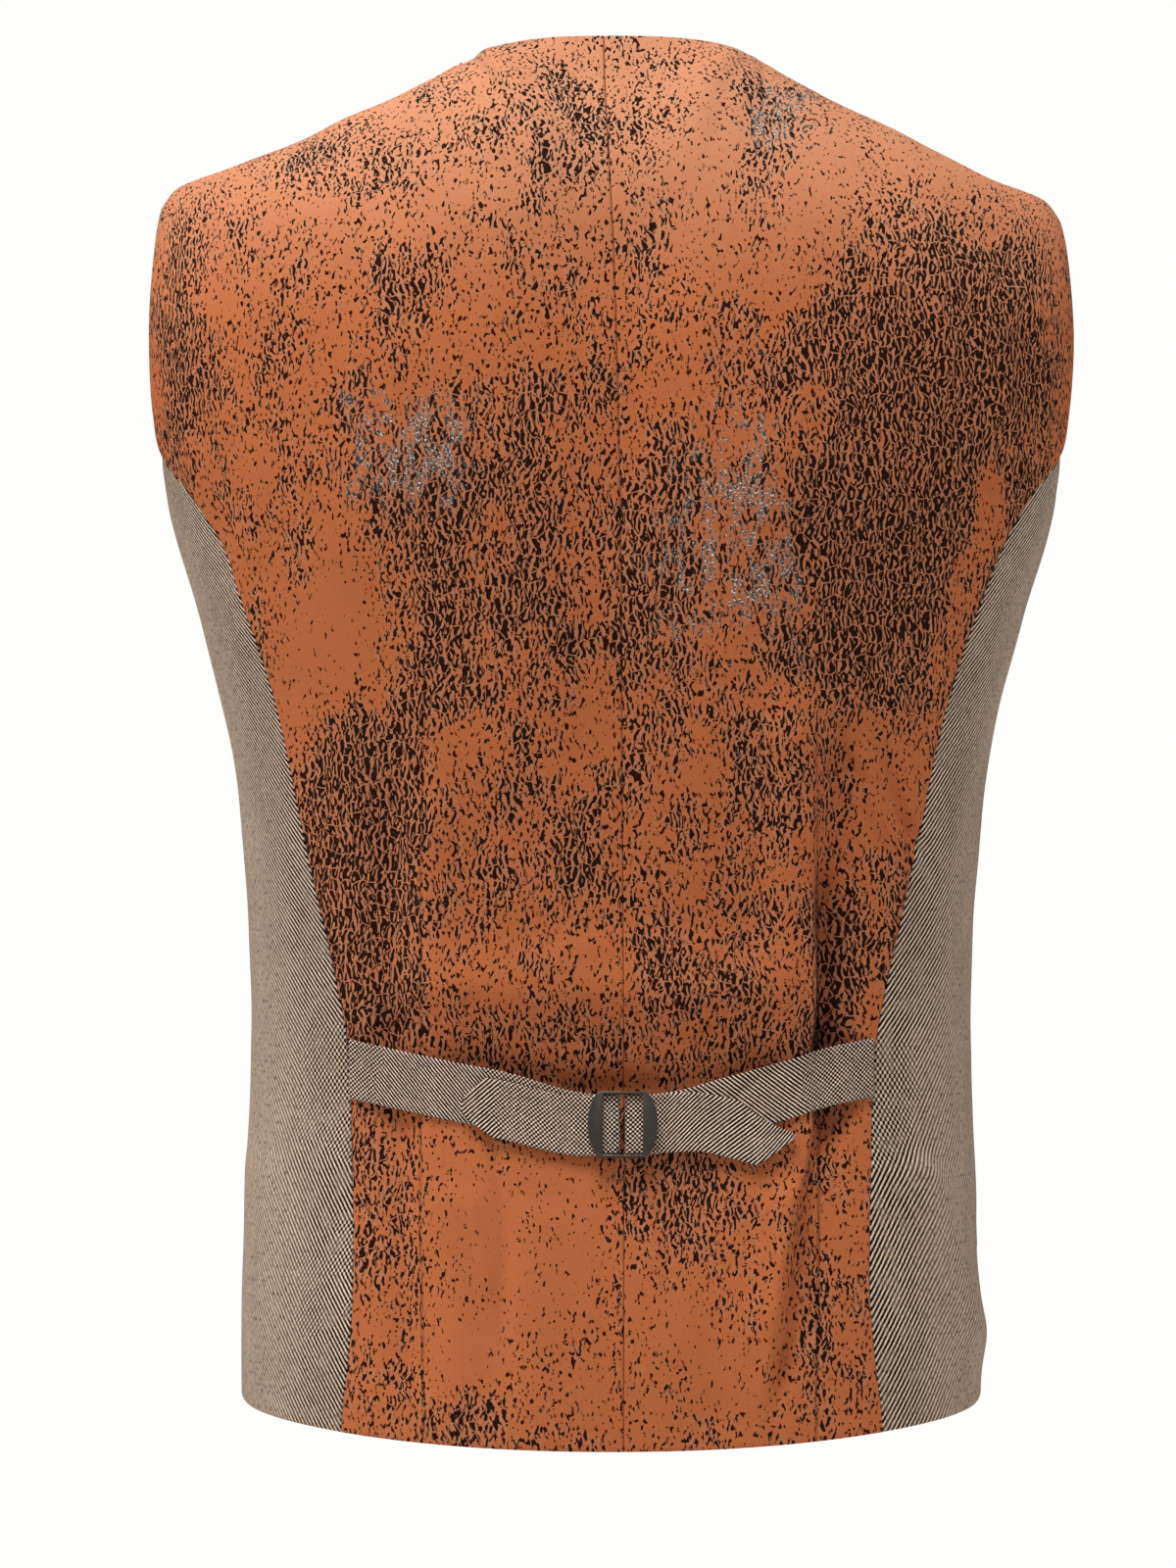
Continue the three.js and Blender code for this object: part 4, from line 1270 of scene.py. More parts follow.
@dataclass(frozen=True)
class Buttons:
    """Five four-hole buttons down the front, each sewn on with thread beside its worked buttonhole."""

    heights: tuple[float, ...] = (306, 245, 184, 123, 62)
    radius: float = 7.6
    thickness: float = 2.8
    rim: float = 1.9
    dish: float = 0.7
    dish_slope: float = 0.6
    rounding: float = 0.45
    hole_radius: float = 0.9
    hole_offset: float = 1.7
    lift: float = 0.35
    thread: float = 0.34
    thread_spacing: float = 0.32
    thread_flatness: float = 0.55
    slot_length: float = 19.0
    slot_width: float = 2.6
    slot_start: float = 2.5
    slot_ring: tuple[float, float] = (1.0, 0.42)
    slot_flatness: float = 0.7
    sunk: float = 0.1

    def disc(self) -> bpy.types.Object:
        """One button: a disc with a raised rim, a dish and four holes.

        Returns:
            The button, its back face at zero.
        """
        bpy.ops.mesh.primitive_cylinder_add(
            vertices=64, radius=self.radius * MM, depth=self.thickness * MM, enter_editmode=True
        )
        bpy.ops.transform.translate(value=(0, 0, self.thickness / 2 * MM))
        bpy.ops.mesh.select_all(action="DESELECT")
        bpy.ops.object.mode_set(mode="OBJECT")
        made = bpy.context.object
        for face in made.data.polygons:
            face.select = face.normal.z > 0.9
        bpy.ops.object.mode_set(mode="EDIT")
        bpy.ops.mesh.select_mode(type="FACE")
        bpy.ops.mesh.inset(thickness=self.rim * MM, depth=0)
        bpy.ops.mesh.inset(thickness=self.dish_slope * MM, depth=-self.dish * MM)
        bpy.ops.object.mode_set(mode="OBJECT")
        soften(made, self.rounding * MM, 4)
        for across, up in ((-1, -1), (-1, 1), (1, -1), (1, 1)):
            place = (across * self.hole_offset * MM, up * self.hole_offset * MM, self.thickness / 2 * MM)
            bpy.ops.mesh.primitive_cylinder_add(
                vertices=20, radius=self.hole_radius * MM, depth=self.thickness * 3 * MM, location=place
            )
            drill = bpy.context.object
            select_only(made)
            cut = made.modifiers.new("hole", "BOOLEAN")
            cut.operation, cut.object, cut.solver = "DIFFERENCE", drill, "EXACT"
            bpy.ops.object.modifier_apply(modifier=cut.name)
            bpy.data.objects.remove(drill)
        bpy.ops.object.shade_smooth_by_angle(angle=math.radians(35))
        return made

    def stitch(self) -> bpy.types.Object:
        """The thread of one button.

        Returns:
            Loops that rise from one pair of holes and go down the other.
        """
        parts = []
        for up in (-1, 1):
            for beside in (-self.thread_spacing, 0.0, self.thread_spacing):
                bpy.ops.mesh.primitive_torus_add(
                    major_radius=self.hole_offset * MM, minor_radius=self.thread / 2 * MM,
                    major_segments=28, minor_segments=8,
                )
                part = bpy.context.object
                bpy.ops.object.mode_set(mode="EDIT")
                bpy.ops.mesh.select_all(action="SELECT")
                bpy.ops.transform.rotate(value=math.pi / 2, orient_axis="X")
                bpy.ops.transform.resize(value=(1.0, 1.0, self.thread_flatness))
                lift = self.thickness - self.dish - self.sunk
                shift = (0, (up * self.hole_offset + beside) * MM, lift * MM)
                bpy.ops.transform.translate(value=shift)
                bpy.ops.object.mode_set(mode="OBJECT")
                parts.append(part)
        made = join(parts, "button_thread")
        bpy.ops.object.shade_smooth()
        return made

    def slot(self) -> bpy.types.Object:
        """One worked buttonhole.

        Returns:
            A long ring of thread, from under the button away from the front edge.
        """
        across, thick = self.slot_ring
        bpy.ops.mesh.primitive_torus_add(
            major_radius=across * MM, minor_radius=thick * MM, major_segments=40, minor_segments=8
        )
        made = bpy.context.object
        bpy.ops.object.mode_set(mode="EDIT")
        bpy.ops.mesh.select_all(action="SELECT")
        whole = (across + thick) * 2
        stretch = (self.slot_length / whole, self.slot_width / whole, self.slot_flatness)
        bpy.ops.transform.resize(value=stretch)
        shift = (-(self.slot_length / 2 - self.slot_start) * MM, 0, self.sunk * MM)
        bpy.ops.transform.translate(value=shift)
        bpy.ops.object.mode_set(mode="OBJECT")
        bpy.ops.object.shade_smooth()
        made.name = made.data.name = "buttonhole"
        return made

    def build(self) -> dict[str, list[bpy.types.Object]]:
        """Makes every button, its thread and its buttonhole.

        Returns:
            The objects, in lists named disc, thread and slot.
        """
        models = {"disc": self.disc(), "thread": self.stitch(), "slot": self.slot()}
        made: dict[str, list[bpy.types.Object]] = {kind: [] for kind in models}
        for number, height in enumerate(self.heights, start=1):
            low = FIGURE.point(Face.FRONT, 0.0, height - 3)
            slope = unit(FIGURE.point(Face.FRONT, 0.0, height + 3) - low)
            out = np.cross(np.array([1.0, 0.0, 0.0]), slope)
            point = FIGURE.point(Face.FRONT, 0.0, height)
            for kind, model in models.items():
                copy = bpy.data.objects.new(f"button_{kind}_{number}", model.data.copy())
                bpy.context.scene.collection.objects.link(copy)
                lift = 0.0 if kind == "slot" else self.lift
                bake(copy, seat(point + out * lift, out))
                made[kind].append(copy)
        for model in models.values():
            bpy.data.objects.remove(model)
        return made


Operand = "Number | float"


def linear(red: float, green: float, blue: float) -> tuple[float, float, float, float]:
    """Turns a screen colour into the linear colour a shader takes.

    Args:
        red: From 0 to 255.
        green: From 0 to 255.
        blue: From 0 to 255.

    Returns:
        The colour, with full cover.
    """
    parts = [channel / 255.0 for channel in (red, green, blue)]
    lit = [part / 12.92 if part <= 0.04045 else ((part + 0.055) / 1.055) ** 2.4 for part in parts]
    return (*lit, 1.0)


class Number:
    """A number that a shader works out, which takes ordinary operators."""

    def __init__(self, shader: "Shader", socket: bpy.types.NodeSocket) -> None:
        """Wraps a socket of a shader."""
        self.shader = shader
        self.socket = socket

    def __add__(self, other: Operand) -> "Number":
        """The sum of the two."""
        return self.shader.maths("ADD", self, other)

    __radd__ = __add__

    def __sub__(self, other: Operand) -> "Number":
        """This number less the other."""
        return self.shader.maths("SUBTRACT", self, other)

    def __rsub__(self, other: Operand) -> "Number":
        """The other number less this one."""
        return self.shader.maths("SUBTRACT", other, self)

    def __mul__(self, other: Operand) -> "Number":
        """The product of the two."""
        return self.shader.maths("MULTIPLY", self, other)

    __rmul__ = __mul__


class Shader:
    """A material in the making."""

    def __init__(self, name: str) -> None:
        """Starts a material with its plain surface."""
        self.material = bpy.data.materials.new(name)
        self.material.use_nodes = True
        self.tree = self.material.node_tree
        self.surface = self.tree.nodes["Principled BSDF"]

    def add(self, kind: str, settings: dict | None = None, inputs: dict | None = None) -> bpy.types.Node:
        """Adds a node.

        Args:
            kind: The node's type.
            settings: Its own settings.
            inputs: What goes into its sockets, as numbers, colours, sockets or worked-out numbers.

        Returns:
            The node.
        """
        node = self.tree.nodes.new(kind)
        for key, value in (settings or {}).items():
            setattr(node, key, value)
        for key, value in (inputs or {}).items():
            self.feed(node.inputs[key], value)
        return node

    def feed(self, socket: bpy.types.NodeSocket, value: object) -> None:
        """Links or sets one socket."""
        value = value.socket if isinstance(value, Number) else value
        if isinstance(value, bpy.types.NodeSocket):
            self.tree.links.new(value, socket)
        else:
            socket.default_value = value

    def maths(self, operation: str, *values: Operand) -> Number:
        """One step of arithmetic."""
        node = self.add("ShaderNodeMath", {"operation": operation}, dict(enumerate(values)))
        return Number(self, node.outputs[0])

    def field(self, name: str) -> Number:
        """A number stored on the mesh's points."""
        node = self.add("ShaderNodeAttribute", {"attribute_name": name})
        return Number(self, node.outputs["Fac"])

    def cloth(self) -> tuple[bpy.types.NodeSocket, Number, Number]:
        """The place on the flat cloth.

        Returns:
            The place whole and as its two numbers, in metres.
        """
        place = self.add("ShaderNodeUVMap", {"uv_map": "cloth"}).outputs["UV"]
        split = self.add("ShaderNodeSeparateXYZ", None, {0: place})
        return place, Number(self, split.outputs[0]), Number(self, split.outputs[1])

    def vector(self, *values: Operand) -> bpy.types.NodeSocket:
        """A vector from its numbers."""
        return self.add("ShaderNodeCombineXYZ", None, dict(enumerate(values))).outputs[0]

    def noise(
        self, place: bpy.types.NodeSocket, scale: float, detail: float = 2.0, rough: float = 0.5
    ) -> Number:
        """Soft random spots."""
        inputs = {"Vector": place, "Scale": scale, "Detail": detail, "Roughness": rough}
        return Number(self, self.add("ShaderNodeTexNoise", None, inputs).outputs[0])

    def rise(
        self, value: Operand, low: Operand, high: Operand, start: float = 0.0, stop: float = 1.0
    ) -> Number:
        """Goes smoothly from one number to another as a value passes between two others.

        Args:
            value: The value.
            low: Where it leaves the first number.
            high: Where it reaches the other.
            start: The first number.
            stop: The other.

        Returns:
            The number.
        """
        inputs = {"Value": value, "From Min": low, "From Max": high, "To Min": start, "To Max": stop}
        node = self.add("ShaderNodeMapRange", {"interpolation_type": "SMOOTHSTEP"}, inputs)
        return Number(self, node.outputs[0])

    def blend(self, share: Operand, low: object, high: object, way: str = "MIX") -> bpy.types.NodeSocket:
        """Goes from one colour to another by a share."""
        settings = {"data_type": "RGBA", "blend_type": way}
        return self.add("ShaderNodeMix", settings, {0: share, 6: low, 7: high}).outputs[2]

    def shaded(self, colour: object, shade: Number) -> bpy.types.NodeSocket:
        """A colour made lighter or darker by a number."""
        return self.blend(1.0, colour, self.vector(shade, shade, shade), "MULTIPLY")

    def bump(self, height: Operand, distance: float, strength: float = 1.0) -> bpy.types.NodeSocket:
        """A way out that leans as if the surface rose by a height."""
        inputs = {"Height": height, "Distance": distance, "Strength": strength}
        return self.add("ShaderNodeBump", None, inputs).outputs[0]

    def finish(self, **inputs: object) -> bpy.types.Material:
        """Sets the surface's own sockets, named with underscores for spaces, and gives the material."""
        for name, value in inputs.items():
            self.feed(self.surface.inputs[name.replace("_", " ")], value)
        return self.material


@dataclass(frozen=True)
class Suede:
    """Brown suede with a worn, broken print of short dark marks."""

    clear: tuple = linear(184, 104, 64)
    pale: tuple = linear(206, 150, 118)
    dark: tuple = linear(20, 5, 3)
    grey: tuple = linear(94, 88, 84)
    speck: tuple = linear(220, 218, 214)
    cycles: float = 385.0
    cells: float = 330.0
    blobs: float = 440.0
    clouds: tuple[float, float] = (2.6, 2.1)
    dense: tuple[float, float] = (0.45, 1.2)
    bare_need: float = 0.276
    need_per_cover: float = 0.305
    least_need: float = -0.085
    mark_edge: float = 0.02
    crack: tuple[float, float] = (0.015, 0.06)
    shine: tuple[float, float] = (0.58, 0.72)
    sparkle: tuple[float, float] = (0.55, 0.63)
    bump: float = 0.0007

    def dress(self) -> bpy.types.Material:
        """Makes the material.

        Returns:
            The material. It reads four point numbers: cover, glint, dart, and the painted light that pales
            the cloth towards the shoulders.
        """
        shader = Shader("suede")
        place, u, v = shader.cloth()
        cover, glint, dart, painted_top_light = (shader.field(name) for name in ("cover", "glint", "dart", "painted_top_light"))
        drift = shader.noise(place, 60.0, 2.0) - 0.5
        lean = shader.noise(shader.vector(v, u, 3.0), 60.0, 2.0) - 0.5
        wobble = shader.noise(shader.vector(u, v * 0.7, 7.0), 420.0, 2.0) - 0.5
        far, high = u + drift * 0.008, v + lean * 0.006
        gabor = shader.add(
            "ShaderNodeTexGabor",
            {"gabor_type": "2D"},
            {
                "Vector": shader.vector(far, high, 0.0), "Scale": self.cycles, "Frequency": 1.0,
                "Anisotropy": 0.85, "Orientation": 0.0,
            },
        )
        cracks = shader.add(
            "ShaderNodeTexVoronoi",
            {"voronoi_dimensions": "2D", "feature": "DISTANCE_TO_EDGE"},
            {"Vector": shader.vector(far * 0.8 + wobble * 0.0014, high * 0.5, 0.0), "Scale": self.cells},
        )
        stripes = Number(shader, gabor.outputs["Value"]) - 0.5
        broken = shader.noise(shader.vector(u * 1.3, v * 0.8, 1.0), self.blobs, 1.0) - 0.5
        crumbs = shader.noise(place, 1500.0, 1.0) - 0.5
        patchy = shader.noise(shader.vector(u * 1.2, v * 0.85, 0.0), 32.0, 4.0, 0.62) - 0.5
        ragged = shader.noise(shader.vector(u * 1.2, v * 0.8, 5.0), 170.0, 3.0, 0.6) - 0.5
        density = cover + patchy * self.clouds[0] + ragged * self.clouds[1]
        zone = shader.rise(density, *self.dense)
        level = stripes * (zone * 0.75 + 0.5) + broken * (1.3 - zone * 0.95) + crumbs * 0.12
        need = shader.maths("MAXIMUM", self.bare_need - density * self.need_per_cover, self.least_need)
        uncut = shader.rise(Number(shader, cracks.outputs["Distance"]) + crumbs * 0.06, *self.crack)
        printed = shader.rise(level, need - self.mark_edge, need + self.mark_edge) * uncut
        cloud = shader.noise(place, 16.0, 3.0, 0.55)
        nap = shader.noise(shader.vector(u, v * 0.55, 2.0), 900.0, 3.0, 0.7)
        # The ground pales in dense print zones, which is the print's own look, and towards the shoulders,
        # which is painted light from above.
        ground = shader.blend(zone * 0.4 + painted_top_light * 0.6, self.clear, self.pale)
        shade = (0.84 + cloud * 0.24 + (nap - 0.5) * 0.2) * (1.0 - zone * 0.12)
        ground = shader.shaded(ground, shade)
        # Painted glints: in the glint zones the marks are painted grey and flecked with white specks,
        # standing in for light reflected off the print; the roughness drops there too.
        spots = shader.noise(shader.vector(u * 1.3, v * 0.5, 8.0), 140.0, 3.0, 0.65)
        shine = shader.rise(spots + glint * 0.14, *self.shine) * glint
        mark = shader.blend(shine * 0.8, self.dark, self.grey)
        sparkle = shader.rise(shader.noise(place, 950.0, 1.0), *self.sparkle) * shine
        mark = shader.blend(sparkle, mark, self.speck)
        colour = shader.blend(printed * 0.97, ground, mark)
        # Painted shade in the dart seam lines: the colour darkens towards the marks' dark within about a
        # millimetre of each dart.
        seam = shader.rise(dart, 0.2, 0.9, 1.0, 0.0)
        colour = shader.blend(seam * 0.35, colour, self.dark)
        height = nap * 0.10 - seam * 0.9
        return shader.finish(
            Base_Color=colour,
            Roughness=shader.rise(shine, 0.0, 1.0, 0.92, 0.55),
            Specular_IOR_Level=0.04,
            Sheen_Weight=0.04,
            Sheen_Roughness=0.35,
            Sheen_Tint=linear(236, 200, 170),
            Normal=shader.bump(height, self.bump),
        )


@dataclass(frozen=True)
class Tweed:
    """Wool of dark and cream yarn whose stripes and checks stand out in places and melt in others."""

    name: str
    slant: int
    melt: float = 0.48
    fade: float = 0.42
    period: float = 2.1
    steep: float = 1.4
    bias: float = 0.2
    yarn_edge: float = 0.3
    sharp_to: tuple[float, float] = (14.0, 46.0)
    sharp_sway: float = 26.0
    fleck: tuple[float, float] = (0.57, 0.65)
    bump: float = 0.0003
    brown: tuple = linear(16, 9, 6)
    cream: tuple = linear(221, 196, 172)

    def dress(self) -> bpy.types.Material:
        """Makes the material.

        Returns:
            The material. It reads the point numbers seam and checks, which are 0 where a piece has none.
        """
        shader = Shader(self.name)
        place, u, v = shader.cloth()
        wave = 2.0 * math.pi / (self.period * MM)
        drift = (shader.noise(place, 240.0, 2.0) - 0.5) * 0.0005
        across, up = (u + drift) * (wave * self.slant), v * (wave / self.steep)
        along = shader.maths("COSINE", across - up)
        over = shader.maths("COSINE", across + up)
        checks = shader.rise(shader.field("checks") + (shader.noise(place, 55.0, 2.0) - 0.5) * 1.6, 0.3, 0.6)
        yarn = shader.noise(place, 1300.0, 2.0, 0.6) - 0.5
        level = along + (over - along) * (checks * 0.5)
        tone = (1.0 - checks * 0.5) * self.bias
        light = shader.rise(level + yarn * 0.9, tone - self.yarn_edge, tone + self.yarn_edge)
        sway = (shader.noise(place, 90.0, 3.0) - 0.5) * self.sharp_sway
        near = shader.rise(shader.field("seam") + sway, *self.sharp_to, 1.0, 0.0)
        melted = shader.rise(shader.noise(place, 120.0, 3.0, 0.6), 0.48, 0.62) * self.melt
        strength = self.fade + near * (1.0 - melted) * (1.0 - self.fade)
        shown = (light - 0.5) * strength + 0.5
        colour = shader.blend(shown, self.brown, self.cream)
        fleck = shader.rise(shader.noise(shader.vector(u * 2.0, v * 0.6, 4.0), 700.0, 1.0), *self.fleck)
        colour = shader.blend(fleck * (1.0 - strength * 0.6) * 0.9, colour, self.brown)
        cloud = shader.noise(place, 22.0, 3.0)
        streak = shader.noise(shader.vector(u, v * 0.22, 9.0), 90.0, 3.0, 0.6)
        slub = shader.noise(shader.vector(u, v * 0.3, 6.0), 620.0, 3.0, 0.7)
        # The last term lightens the cloth away from the back seam: painted light on the outer sides. The
        # other terms are the wool's own mottling.
        shade = 0.2 + cloud * 0.3 + streak * 0.36 + slub * 0.88 + (1.0 - near) * 0.12
        colour = shader.shaded(colour, shade)
        return shader.finish(
            Base_Color=colour,
            Roughness=0.95,
            Specular_IOR_Level=0.1,
            Sheen_Weight=0.04,
            Sheen_Roughness=0.6,
            Normal=shader.bump(along * 0.35 + slub * 0.5, self.bump, 0.8),
        )


@dataclass(frozen=True)
class Plain:
    """A finish of one colour with faint clouds and grain."""

    name: str
    colour: tuple
    roughness: float
    metallic: float = 0.0
    grain: float = 0.04
    scale: float = 400.0
    glow: float = 0.0

    def dress(self) -> bpy.types.Material:
        """Makes the material.

        Returns:
            The material, which reads the object's own coordinates.
        """
        shader = Shader(self.name)
        place = shader.add("ShaderNodeTexCoord").outputs["Object"]
        spots = shader.noise(place, self.scale, 3.0, 0.6)
        shade = 1.0 - self.grain * 2.0 + spots * self.grain * 4.0
        colour = shader.shaded(self.colour, shade)
        return shader.finish(
            Base_Color=colour,
            Metallic=self.metallic,
            Roughness=self.roughness + (spots - 0.5) * 0.25,
            Emission_Color=self.colour,
            Emission_Strength=self.glow,
            Normal=shader.bump(spots, 0.00006),
        )


def patched(patches: tuple[Patch, ...], points: Array) -> Array:
    """The patches' strengths added up at each point.

    Args:
        patches: The soft ovals.
        points: Places on the cloth, in millimetres above the hem.

    Returns:
        The sum for each point.
    """
    x, height = points[:, 0], points[:, 2]
    value = np.zeros(len(points))
    for patch in patches:
        turn = math.radians(patch.tilt)
        across = (x - patch.x) * math.cos(turn) + (height - patch.height) * math.sin(turn)
        up = (height - patch.height) * math.cos(turn) - (x - patch.x) * math.sin(turn)
        value += patch.strength * np.exp(-((across / patch.across) ** 4 + (up / patch.up) ** 4) * 0.7)
    return value


@dataclass(frozen=True)
class Print:
    """Where on the back the print is dense or worn off, and where its marks carry painted glints."""

    patches: tuple[Patch, ...] = (
        Patch(-140, 412, 44, 92, 0, 1.05),
        Patch(-156, 488, 26, 34, 0, 0.25),
        Patch(-155, 376, 8, 48, 17, -1.0),
        Patch(-152, 416, 13, 9, 0, -0.55),
        Patch(-90, 372, 22, 58, 0, 0.4),
        Patch(-128, 556, 44, 22, 0, -0.3),
        Patch(110, 236, 26, 72, 0, 1.0),
        Patch(85, 366, 20, 34, 0, 0.35),
        Patch(41, 401, 36, 84, 0, 0.4),
        Patch(-18, 366, 16, 62, 0, 0.35),
        Patch(-40, 384, 30, 36, 0, 0.35),
        Patch(87, 426, 26, 28, 0, 0.45),
        Patch(-74, 572, 17, 18, 0, 0.4),
        Patch(20, 564, 18, 28, 0, 0.35),
        Patch(118, 549, 26, 14, 0, 0.3),
        Patch(187, 470, 11, 50, 0, 0.5),
        Patch(-36, 205, 28, 36, 0, 0.35),
        Patch(-92, 196, 14, 44, 0, 0.5),
        Patch(36, 168, 34, 18, 0, 0.4),
        Patch(-42, 105, 26, 20, 0, 0.3),
        Patch(-14, 116, 14, 26, 0, 0.3),
        Patch(93, 92, 13, 28, 0, 0.4),
        Patch(66, 18, 30, 12, 0, 0.25),
        Patch(62, 46, 18, 16, 0, -0.6),
        Patch(-88, 55, 8, 22, 0, 0.4),
        Patch(118, 343, 26, 30, 0, -0.55),
        Patch(41, 92, 34, 34, 0, -0.5),
        Patch(-38, 42, 34, 24, 0, -0.3),
        Patch(-40, 553, 20, 14, 0, -0.25),
        Patch(-122, 288, 15, 24, 0, -0.35),
        Patch(152, 535, 24, 10, 0, -0.35),
        Patch(70, 470, 30, 40, 0, -0.2),
        Patch(29, 258, 26, 26, 0, 0.4),
        Patch(85, 330, 14, 24, 0, 0.35),
        Patch(-65, 290, 16, 22, 0, 0.45),
        Patch(-115, 236, 14, 22, 0, 0.45),
        Patch(26, 22, 20, 12, 0, -0.4),
        Patch(35, 480, 18, 26, 0, -0.3),
        Patch(-65, 512, 18, 20, 0, -0.35),
        Patch(-65, 468, 16, 18, 0, 0.4),
        Patch(85, 493, 16, 20, 0, 0.3),
        Patch(-166, 468, 16, 40, 0, 0.35),
        Patch(-40, 268, 14, 14, 0, 0.35),
    )
    # Zones where the marks carry painted glints.
    glints: tuple[Patch, ...] = (
        Patch(-58, 398, 17, 52, -10, 1.0),
        Patch(-34, 378, 18, 34, 0, 0.7),
        Patch(87, 426, 26, 25, 0, 1.0),
        Patch(-74, 572, 17, 18, 0, 0.9),
    )
    base: float = 0.58
    dart_left: Line = Line((-10, 80), (150, 82.4), (330, 80), (385, 78))
    dart_right: Line = Line((-10, -87), (150, -89.3), (330, -87), (385, -86))
    dart_top: float = 365.0

    def cover(self, points: Array) -> Array:
        """How much of the cloth the print covers at each point."""
        return np.clip(self.base + patched(self.patches, points), -0.4, 1.4)

    def glint(self, points: Array) -> Array:
        """How far the marks are painted grey with white specks, as glints, at each point."""
        return np.clip(0.08 + patched(self.glints, points), 0.0, 1.0)

    def painted_top_light(self, points: Array) -> Array:
        """Painted light from above: how far the cloth is painted paler towards the shoulders."""
        return smooth(points[:, 2], 470, 585)

    def dart(self, points: Array) -> Array:
        """How far each point is from the nearest dart's seam.

        Args:
            points: Places on the cloth, in millimetres above the hem.

        Returns:
            The distance in millimetres, growing towards the shoulders.
        """
        x, height = points[:, 0], points[:, 2]
        beside = np.minimum(np.abs(x - self.dart_left(height)), np.abs(x - self.dart_right(height)))
        above = np.maximum(height - self.dart_top, 0.0)
        return np.hypot(beside, above) + 20.0 * smooth(height, 480, 560)


@dataclass(frozen=True)
class Weave:
    """Where on a piece of tweed the yarns check instead of striping, and how far its back seam is."""

    zones: tuple[Patch, ...]
    far: float = 90.0

    def checks(self, points: Array) -> Array:
        """How far the weave checks at each point, from 0 to 1."""
        return np.clip(patched(self.zones, points), 0.0, 1.0) * (points[:, 1] > 0)

    def seam(self, points: Array) -> Array:
        """How far round the figure each point is from the seam at the back.

        Args:
            points: Places on the cloth, in millimetres above the hem.

        Returns:
            The distance in millimetres, and one long distance for points in front.
        """
        x, y, height = points.T
        _, edge = girth(Face.BACK, CUT.back_edge(height), height)
        _, here = girth(Face.BACK, x, height)
        return np.where(y > 0, np.maximum(edge - here, 0.0), self.far)


SIDE_WEAVE = Weave(
    (Patch(118, 152, 18, 30, 0, 0.9), Patch(-118, 150, 16, 26, 0, 0.9), Patch(124, 70, 18, 26, 0, 0.6))
)
STRAP_WEAVE = Weave(
    (Patch(14, 140, 36, 40, 0, 1.0), Patch(112, 160, 12, 40, 0, 0.9), Patch(-104, 158, 21, 40, 0, 1.0))
)


class Lamp(NamedTuple):
    """One soft square light."""

    name: str
    place: tuple[float, float, float]
    size: float
    power: float
    colour: tuple[float, float, float]


@dataclass(frozen=True)
class Stage:
    """The pale floor far below, the white surround, the soft lights and the camera."""

    lamps: tuple[Lamp, ...] = (
        Lamp("top", (0.5, 1.0, 2.4), 1.3, 98.0, (1.0, 0.98, 0.96)),
        Lamp("back", (-0.3, 3.4, 0.9), 1.8, 7.0, (1.0, 0.98, 0.96)),
        Lamp("left", (2.3, 0.6, 0.1), 1.4, 19.0, (1.0, 0.99, 0.98)),
        Lamp("right", (-2.3, 0.2, 0.1), 1.4, 13.0, (1.0, 0.99, 0.98)),
        Lamp("front", (0.8, -2.6, 1.4), 2.4, 46.0, (1.0, 0.98, 0.96)),
    )
    lit_point: tuple[float, float, float] = (0.0, 0.0, -0.28)
    lit_by_white: float = 0.15
    white: tuple[float, ...] = (1.0, 0.995, 0.985, 1.0)
    floor: float = -1.35
    reach: float = 4.8
    camera: tuple[float, float, float] = (0.0102, 2.6, -0.2898)
    seen_height: float = 0.6968
    sensor: float = 24.0

    def surround(self) -> None:
        """Sets a white background that lights the scene softly."""
        world = bpy.data.worlds.new("surround")
        bpy.context.scene.world = world
        world.use_nodes = True
        tree = world.node_tree
        seen = tree.nodes.new("ShaderNodeLightPath")
        shade = tree.nodes["Background"]
        level = tree.nodes.new("ShaderNodeMapRange")
        level.inputs["To Min"].default_value = self.lit_by_white
        level.inputs["To Max"].default_value = 1.0
        tree.links.new(seen.outputs["Is Camera Ray"], level.inputs["Value"])
        tree.links.new(level.outputs[0], shade.inputs["Strength"])
        shade.inputs["Color"].default_value = self.white

    def light(self, lamp: Lamp) -> None:
        """Places one light so that it faces the waistcoat's middle.

        Args:
            lamp: The light.
        """
        bpy.ops.object.light_add(type="AREA", location=lamp.place)
        made = bpy.context.object
        made.name = lamp.name
        made.data.size, made.data.energy, made.data.color = lamp.size, lamp.power, lamp.colour
        aim = Vector(self.lit_point) - Vector(lamp.place)
        made.rotation_euler = aim.to_track_quat("-Z", "Y").to_euler()

    def build(self) -> None:
        """Makes the floor, the lights and the camera."""
        self.surround()
        bpy.ops.mesh.primitive_circle_add(
            vertices=96, radius=self.reach, fill_type="NGON", location=(0, 0, self.floor)
        )
        floor = bpy.context.object
        floor.name = "floor"
        pale = Plain("pale_floor", linear(244, 243, 240), 0.9, grain=0.005, glow=0.16)
        floor.data.materials.append(pale.dress())
        for lamp in self.lamps:
            self.light(lamp)
        bpy.ops.object.camera_add(location=self.camera, rotation=(math.pi / 2, 0.0, math.pi))
        camera = bpy.context.object
        camera.data.sensor_fit = "VERTICAL"
        camera.data.sensor_height = self.sensor
        camera.data.lens = self.sensor * self.camera[1] / self.seen_height
        bpy.context.scene.camera = camera
        bpy.context.scene.view_settings.view_transform = "Standard"


def dress(made: bpy.types.Object, finishes: list[bpy.types.Material], node: str) -> None:
    """Gives a piece its finishes, hangs it under the root and hides the solid it replaces.

    Args:
        made: The piece.
        finishes: Its materials, in the order of its slots.
        node: The solid it replaces.
    """
    for finish in finishes:
        made.data.materials.append(finish)
    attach(made, "root")
    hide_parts(node)
    LOG.info("%s: %d faces", made.name, len(made.data.polygons))


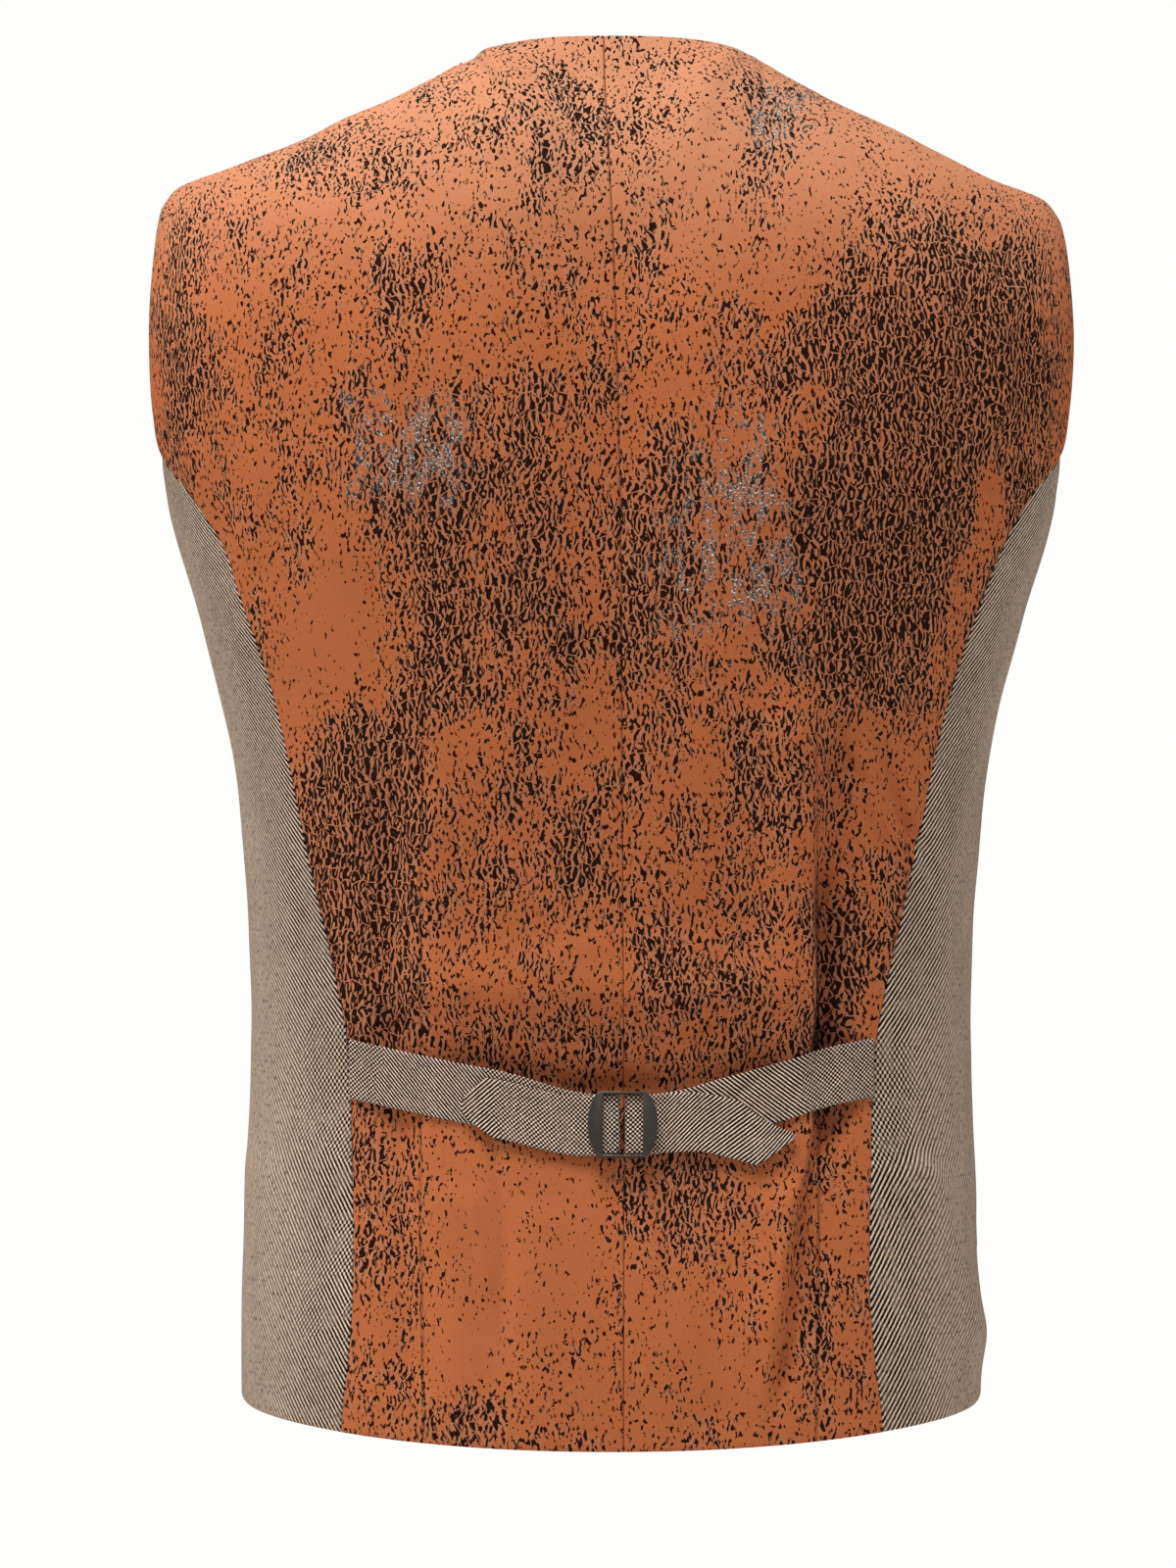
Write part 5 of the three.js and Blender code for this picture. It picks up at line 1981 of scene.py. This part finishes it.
def sew_panels(side: Side, marking: Print, suede: list, tweed: list) -> None:
    """Makes one back half and the front that joins it at the side.

    Args:
        side: Which half of the waistcoat.
        marking: Where the print is dense, worn or glinting.
        suede: The back's finishes, for its outer and its inner face.
        tweed: The front's finishes, for its outer and its inner face.
    """
    name = side.name.lower()
    marks = {"cover": marking.cover, "glint": marking.glint, "dart": marking.dart, "painted_top_light": marking.painted_top_light}
    shell = Shell(f"back_{name}_cloth", BACK_THICKNESS, -side.value)
    half = shell.build(BackHalf(side).grid(), RELIEF.out, marks)
    dress(half, suede, f"back_{name}")
    weave = {"checks": SIDE_WEAVE.checks, "seam": SIDE_WEAVE.seam}
    shell = Shell(f"front_{name}_cloth", FRONT_THICKNESS, -side.value)
    drop = UNDERLAP_DROP if side is Side.RIGHT else 0.0
    front = shell.build(FrontPiece(side, drop).grid(), RELIEF.out, weave)
    dress(front, tweed, f"front_{name}")


def sew_straps(cloth: bpy.types.Material) -> None:
    """Makes both halves of the cinch strap.

    Args:
        cloth: Their finish.
    """
    straps = (
        Strap(
            "strap_left_cloth", Side.LEFT,
            end=Line((-1, 50), (-0.5, 61.5), (0, 64), (0.5, 59.5), (1, 54)),
            sink=Line((2, 0), (16, 2), (31, 3.3), (64, 4.4)),
        ),
        Strap(
            "strap_right_cloth", Side.RIGHT,
            end=Line(
                (-1, -61.5), (-0.65, -68.5), (-0.28, -76), (-0.14, -78.2), (0, -76.6), (0.35, -69), (1, -55)
            ),
            sink=Line(
                (-78, 19), (-70, 18), (-62, 15.8), (-54, 11.6), (-46, 7.4), (-37, 3), (-26, 0.6), (-14, 0)
            ),
            dents=(Fold(Face.BACK, -55, 151, -74, 163, 1, 2.2, 0.9),),
        ),
    )
    for strap, node, long in zip(straps, ("strap_left", "strap_right"), (0.190, 0.182)):
        made = strap.build(STRAP_WEAVE)
        dress(made, [cloth], node)


def sew_buttons(horn: bpy.types.Material, thread: bpy.types.Material) -> None:
    """Makes the buttons, their threads and their buttonholes.

    Args:
        horn: The buttons' finish.
        thread: The finish of the threads and the buttonholes.
    """
    buttons = Buttons().build()
    for kind, finish in (("disc", horn), ("thread", thread), ("slot", thread)):
        for number, made in enumerate(buttons[kind], start=1):
            made.data.materials.append(finish)
            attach(made, "root")
            if kind == "disc":
                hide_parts(f"button_{number}")
            LOG.info("%s: %d faces", made.name, len(made.data.polygons))


def main() -> None:
    """Builds every piece in order, hides the solid each replaces and logs it."""
    logging.basicConfig(level=logging.INFO, format="%(name)s: %(message)s")
    suede = Suede().dress()
    tweed_left = Tweed("tweed_left", -1).dress()
    tweed_right = Tweed("tweed_right", 1, period=2.4).dress()
    strap_cloth = Tweed(
        "strap_tweed", 1, melt=0.3, fade=0.75, period=1.95, steep=1.0, bias=0.42, cream=linear(240, 214, 194)
    ).dress()
    suede_reverse = Plain("suede_reverse", linear(126, 84, 60), 0.9, grain=0.05).dress()
    tweed_reverse = Plain("tweed_reverse", linear(124, 107, 90), 0.9, grain=0.05).dress()
    metal = Plain("buckle_metal", linear(80, 75, 70), 0.42, metallic=0.85, grain=0.06).dress()
    horn = Plain("horn", linear(62, 42, 30), 0.35, grain=0.12, scale=220.0).dress()
    thread = Plain("thread", linear(70, 52, 40), 0.8).dress()

    for side, tweed in ((Side.LEFT, tweed_left), (Side.RIGHT, tweed_right)):
        sew_panels(side, Print(), [suede, suede_reverse], [tweed, tweed_reverse])
    sew_straps(strap_cloth)
    dress(Buckle().build(), [metal], "cinch_buckle")
    sew_buttons(horn, thread)
    Stage().build()


if __name__ == "__main__":
    main()
